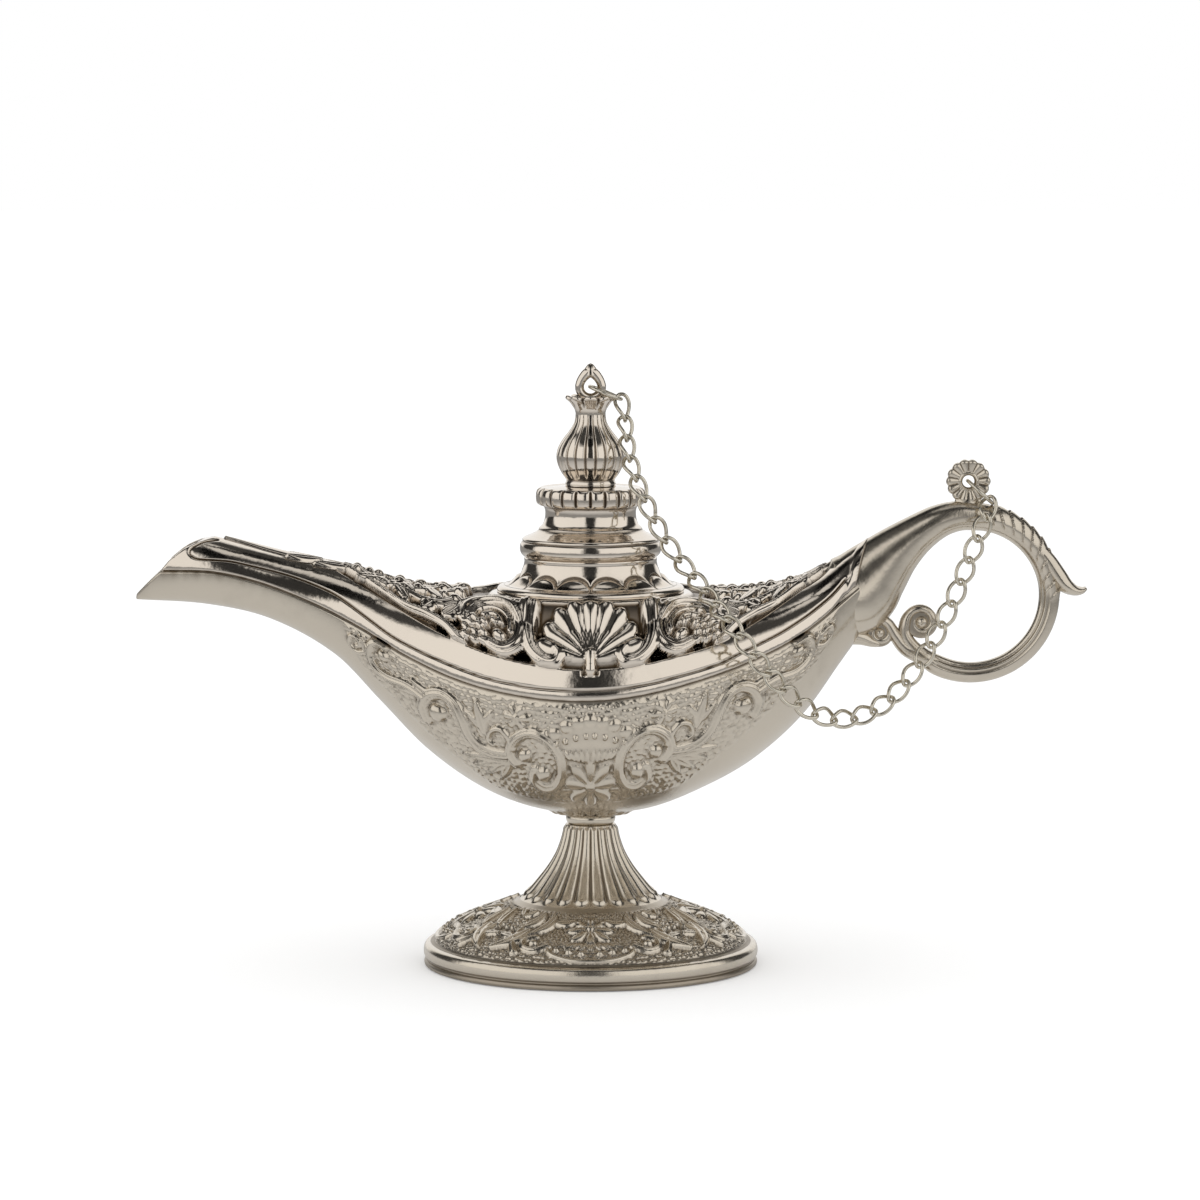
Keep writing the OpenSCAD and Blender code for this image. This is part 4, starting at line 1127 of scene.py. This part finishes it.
# Chain, on the route that the part's source gives
RING_DROP = END_RING_R - 0.2
CHAIN_TURN = -46
chain_route = [
    (6.46, 0.2, 121.42), (7.2, -1.6, 117.1), (7.6, -5, 112.5), (8.4, -8, 107.6), (10.2, -11, 103),
    (12.2, -12, 98.6), (14.5, -11.4, 94), (17, -11.8, 89.9), (19.6, -13, 86.6), (22.8, -16.4, 83),
    (25.8, -21.6, 79.4), (29, -26, 75.8), (31.8, -28.4, 72.2), (34.4, -28.8, 68.8), (37.2, -28.2, 65.4),
    (40.4, -26.8, 61.8), (43.6, -24.8, 58.8), (47.4, -22.4, 56.2), (52, -19.6, 54.8), (57, -16.8, 55.2),
    (62.2, -13.8, 57.6), (66.4, -11.2, 61.4), (69.8, -9.2, 65.8), (72.4, -7.8, 70), (74.8, -6.7, 74.4),
    (77, -6, 78.8), (78.8, -5.8, 83.4), (80.6, -6.2, 88.2), (82.2, -6.6, 92.6), (83.7, -5.6, 96.4),
    (84.6, -2.5, 99.9)]


def make_chain():
    route = smooth_path(chain_route, 6)
    travel = np.concatenate([[0], np.cumsum(np.linalg.norm(np.diff(route, axis=0), axis=1))])
    pitch = travel[-1] / LINKS
    reach = (pitch + WIRE_D + LINK_PLAY) / 2
    half_w = (LINK_W - WIRE_D) / 2
    riders = frame["record"]["behaviour"]["bodies"]
    bodies = {node: body for body, names in riders.items() for node in names}
    ends = np.stack([np.interp(np.arange(LINKS + 1) * pitch, travel, route[:, k]) for k in range(3)], 1)
    for i in range(1, LINKS + 1):
        a = ends[i - 1]
        b = ends[i]
        centre = (a + b) / 2
        t = (b - a) / np.linalg.norm(b - a)
        v = np.array([0, 1, 0]) - t[1] * t
        v = v / np.linalg.norm(v)
        u = np.cross(t, v)
        aim = 45 + CHAIN_TURN * (i - 1) / (LINKS - 1)
        g = np.arange(48) * TAU / 48
        f = np.radians(aim + 45 * np.cos(g))
        x = reach * np.cos(g)
        w = half_w * np.sin(g)
        across = np.cos(f)[:, None] * u + np.sin(f)[:, None] * v
        square = -np.sin(f)[:, None] * u + np.cos(f)[:, None] * v
        line = centre + x[:, None] * t + w[:, None] * across
        run = np.roll(line, -1, 0) - np.roll(line, 1, 0)
        run = run / np.linalg.norm(run, axis=1, keepdims=True)
        e = square - np.sum(square * run, 1, keepdims=True) * run
        e = e / np.linalg.norm(e, axis=1, keepdims=True)
        other = np.cross(run, e)
        k = turn(12)[..., None]
        rings = line[:, None] + WIRE_D / 2 * (np.cos(k) * e[:, None] + np.sin(k) * other[:, None])
        shape = Shape()
        shape.grid(np.concatenate([rings, rings[:1]]), True)
        node = "link_%02d" % i
        shape.make("chain_" + node, WIRE, bodies[node], [node])


def make_end_ring(name, node, body, hole_x, hole_z, run):
    a = math.radians(run)
    cx = hole_x + RING_DROP * math.cos(a)
    cz = hole_z + RING_DROP * math.sin(a)
    p = (np.arange(73) * TAU / 72)[:, None]
    q = turn(14)
    r = END_RING_R + WIRE_D / 2 * np.cos(q)
    along = r * np.cos(p)
    lift = WIRE_D / 2 * np.sin(q)
    shape = Shape()
    shape.grid(np.stack([cx + along * math.cos(a) - lift * math.sin(a), r * np.sin(p),
                         cz + along * math.sin(a) + lift * math.cos(a)], -1), True)
    shape.make(name, WIRE, body, [node])


make_chain()
make_end_ring("ring_on_finial", "finial_ring", "lid", 0, EYE_Z, -22)
make_end_ring("ring_on_rosette", "rosette_ring", "root", ROSETTE_X, ROSETTE_Z, -42)

# CAD nodes that stay as they are
for node, mat in (("foot_screw", STEEL), ("foot_washer", BRASS), ("finial_nut", BRASS)):
    data = frame["nodes"][node].data
    data.materials.clear()
    data.materials.append(mat)


# Floor, and a world that is white behind the lamp and a studio in its reflections
def make_floor():
    mesh = bpy.data.meshes.new("floor")
    s = 6.0
    mesh.from_pydata([(-s, -s, 0), (s, -s, 0), (s, s, 0), (-s, s, 0)], [], [(0, 1, 2, 3)])
    mat, tree, bsdf = new_material("floor_paper")
    bsdf.inputs["Roughness"].default_value = 1.0
    bsdf.inputs["Specular IOR Level"].default_value = 0.0
    bsdf.inputs["Emission Color"].default_value = (1, 1, 1, 1)
    # The camera sees it white. Reflections see a sheet with painted shade that darkens away from the lamp.
    path = add_node(tree, "LightPath", {}).outputs
    glow = math_node(tree, "MULTIPLY", path["Is Camera Ray"], 0.16)
    tree.links.new(glow, bsdf.inputs["Emission Strength"])
    place = add_node(tree, "TexCoord", {}).outputs["Object"]
    reach = add_node(tree, "VectorMath", {0: place}, operation="LENGTH").outputs["Value"]
    fall = map_range(tree, reach, 0.06, 0.5, 0.8, 0.3)
    tone = add_node(tree, "Mix", {0: path["Is Glossy Ray"], 2: 0.93, 3: fall}, data_type="FLOAT")
    tree.links.new(tone.outputs[0], bsdf.inputs["Base Color"])
    mesh.materials.append(mat)
    floor = bpy.data.objects.new("floor", mesh)
    floor.location = (0, 0, -0.0002)
    bpy.context.collection.objects.link(floor)


def grey_ramp(tree, value, first, last, between, tint):
    """Greys from first to last along a value. between gives places and their levels, which are tinted."""
    node = add_node(tree, "ValToRGB", {0: value})
    stops = node.color_ramp.elements
    stops[0].color = (first, first, first, 1)
    stops[1].color = (last, last, last, 1)
    for place, level in between:
        stops.new(place).color = (level, level * tint[0], level * tint[1], 1)
    return node.outputs["Color"]


def make_world():
    world = bpy.data.worlds.new("studio")
    bpy.context.scene.world = world
    world.use_nodes = True
    tree = world.node_tree
    tree.nodes.clear()
    place = add_node(tree, "TexCoord", {}).outputs["Generated"]
    split = add_node(tree, "SeparateXYZ", {0: place}).outputs
    # Angle round from the -Y side, 0 to 1 at the back, and height above the horizon in turns of 90 degrees
    back = math_node(tree, "MULTIPLY", split["Y"], -1.0)
    side = math_node(tree, "ABSOLUTE", split["X"])
    around = math_node(tree, "DIVIDE", math_node(tree, "ARCTAN2", side, back), math.pi)
    lift = math_node(tree, "DIVIDE", math_node(tree, "ARCSINE", split["Z"]), math.pi / 2)
    walls = ((0.055, 0.03), (0.085, 0.95), (0.5, 1.0), (0.57, 1.0), (0.61, 0.04), (0.78, 0.04), (0.84, 1.0))
    ceiling = ((0.5, 1.0), (0.6, 0.05), (0.8, 0.05), (0.86, 0.7), (0.95, 0.7))
    mix = add_node(tree, "Mix", {}, data_type="RGBA", blend_type="MULTIPLY")
    mix.inputs["Factor"].default_value = 1.0
    tree.links.new(grey_ramp(tree, around, 0.03, 1, walls, (0.985, 0.96)), mix.inputs["A"])
    tree.links.new(grey_ramp(tree, lift, 1, 0.04, ceiling, (1, 1)), mix.inputs["B"])
    studio = add_node(tree, "Background", {"Color": mix.outputs["Result"], "Strength": 1.0})
    plain = add_node(tree, "Background", {"Color": (1, 1, 1, 1), "Strength": 1.0})
    glossy = add_node(tree, "LightPath", {}).outputs["Is Glossy Ray"]
    choose = add_node(tree, "MixShader", {"Fac": glossy, 1: plain.outputs[0], 2: studio.outputs[0]})
    add_node(tree, "OutputWorld", {"Surface": choose.outputs[0]})
make_floor()
make_world()
bpy.context.scene.view_settings.view_transform = "Standard"
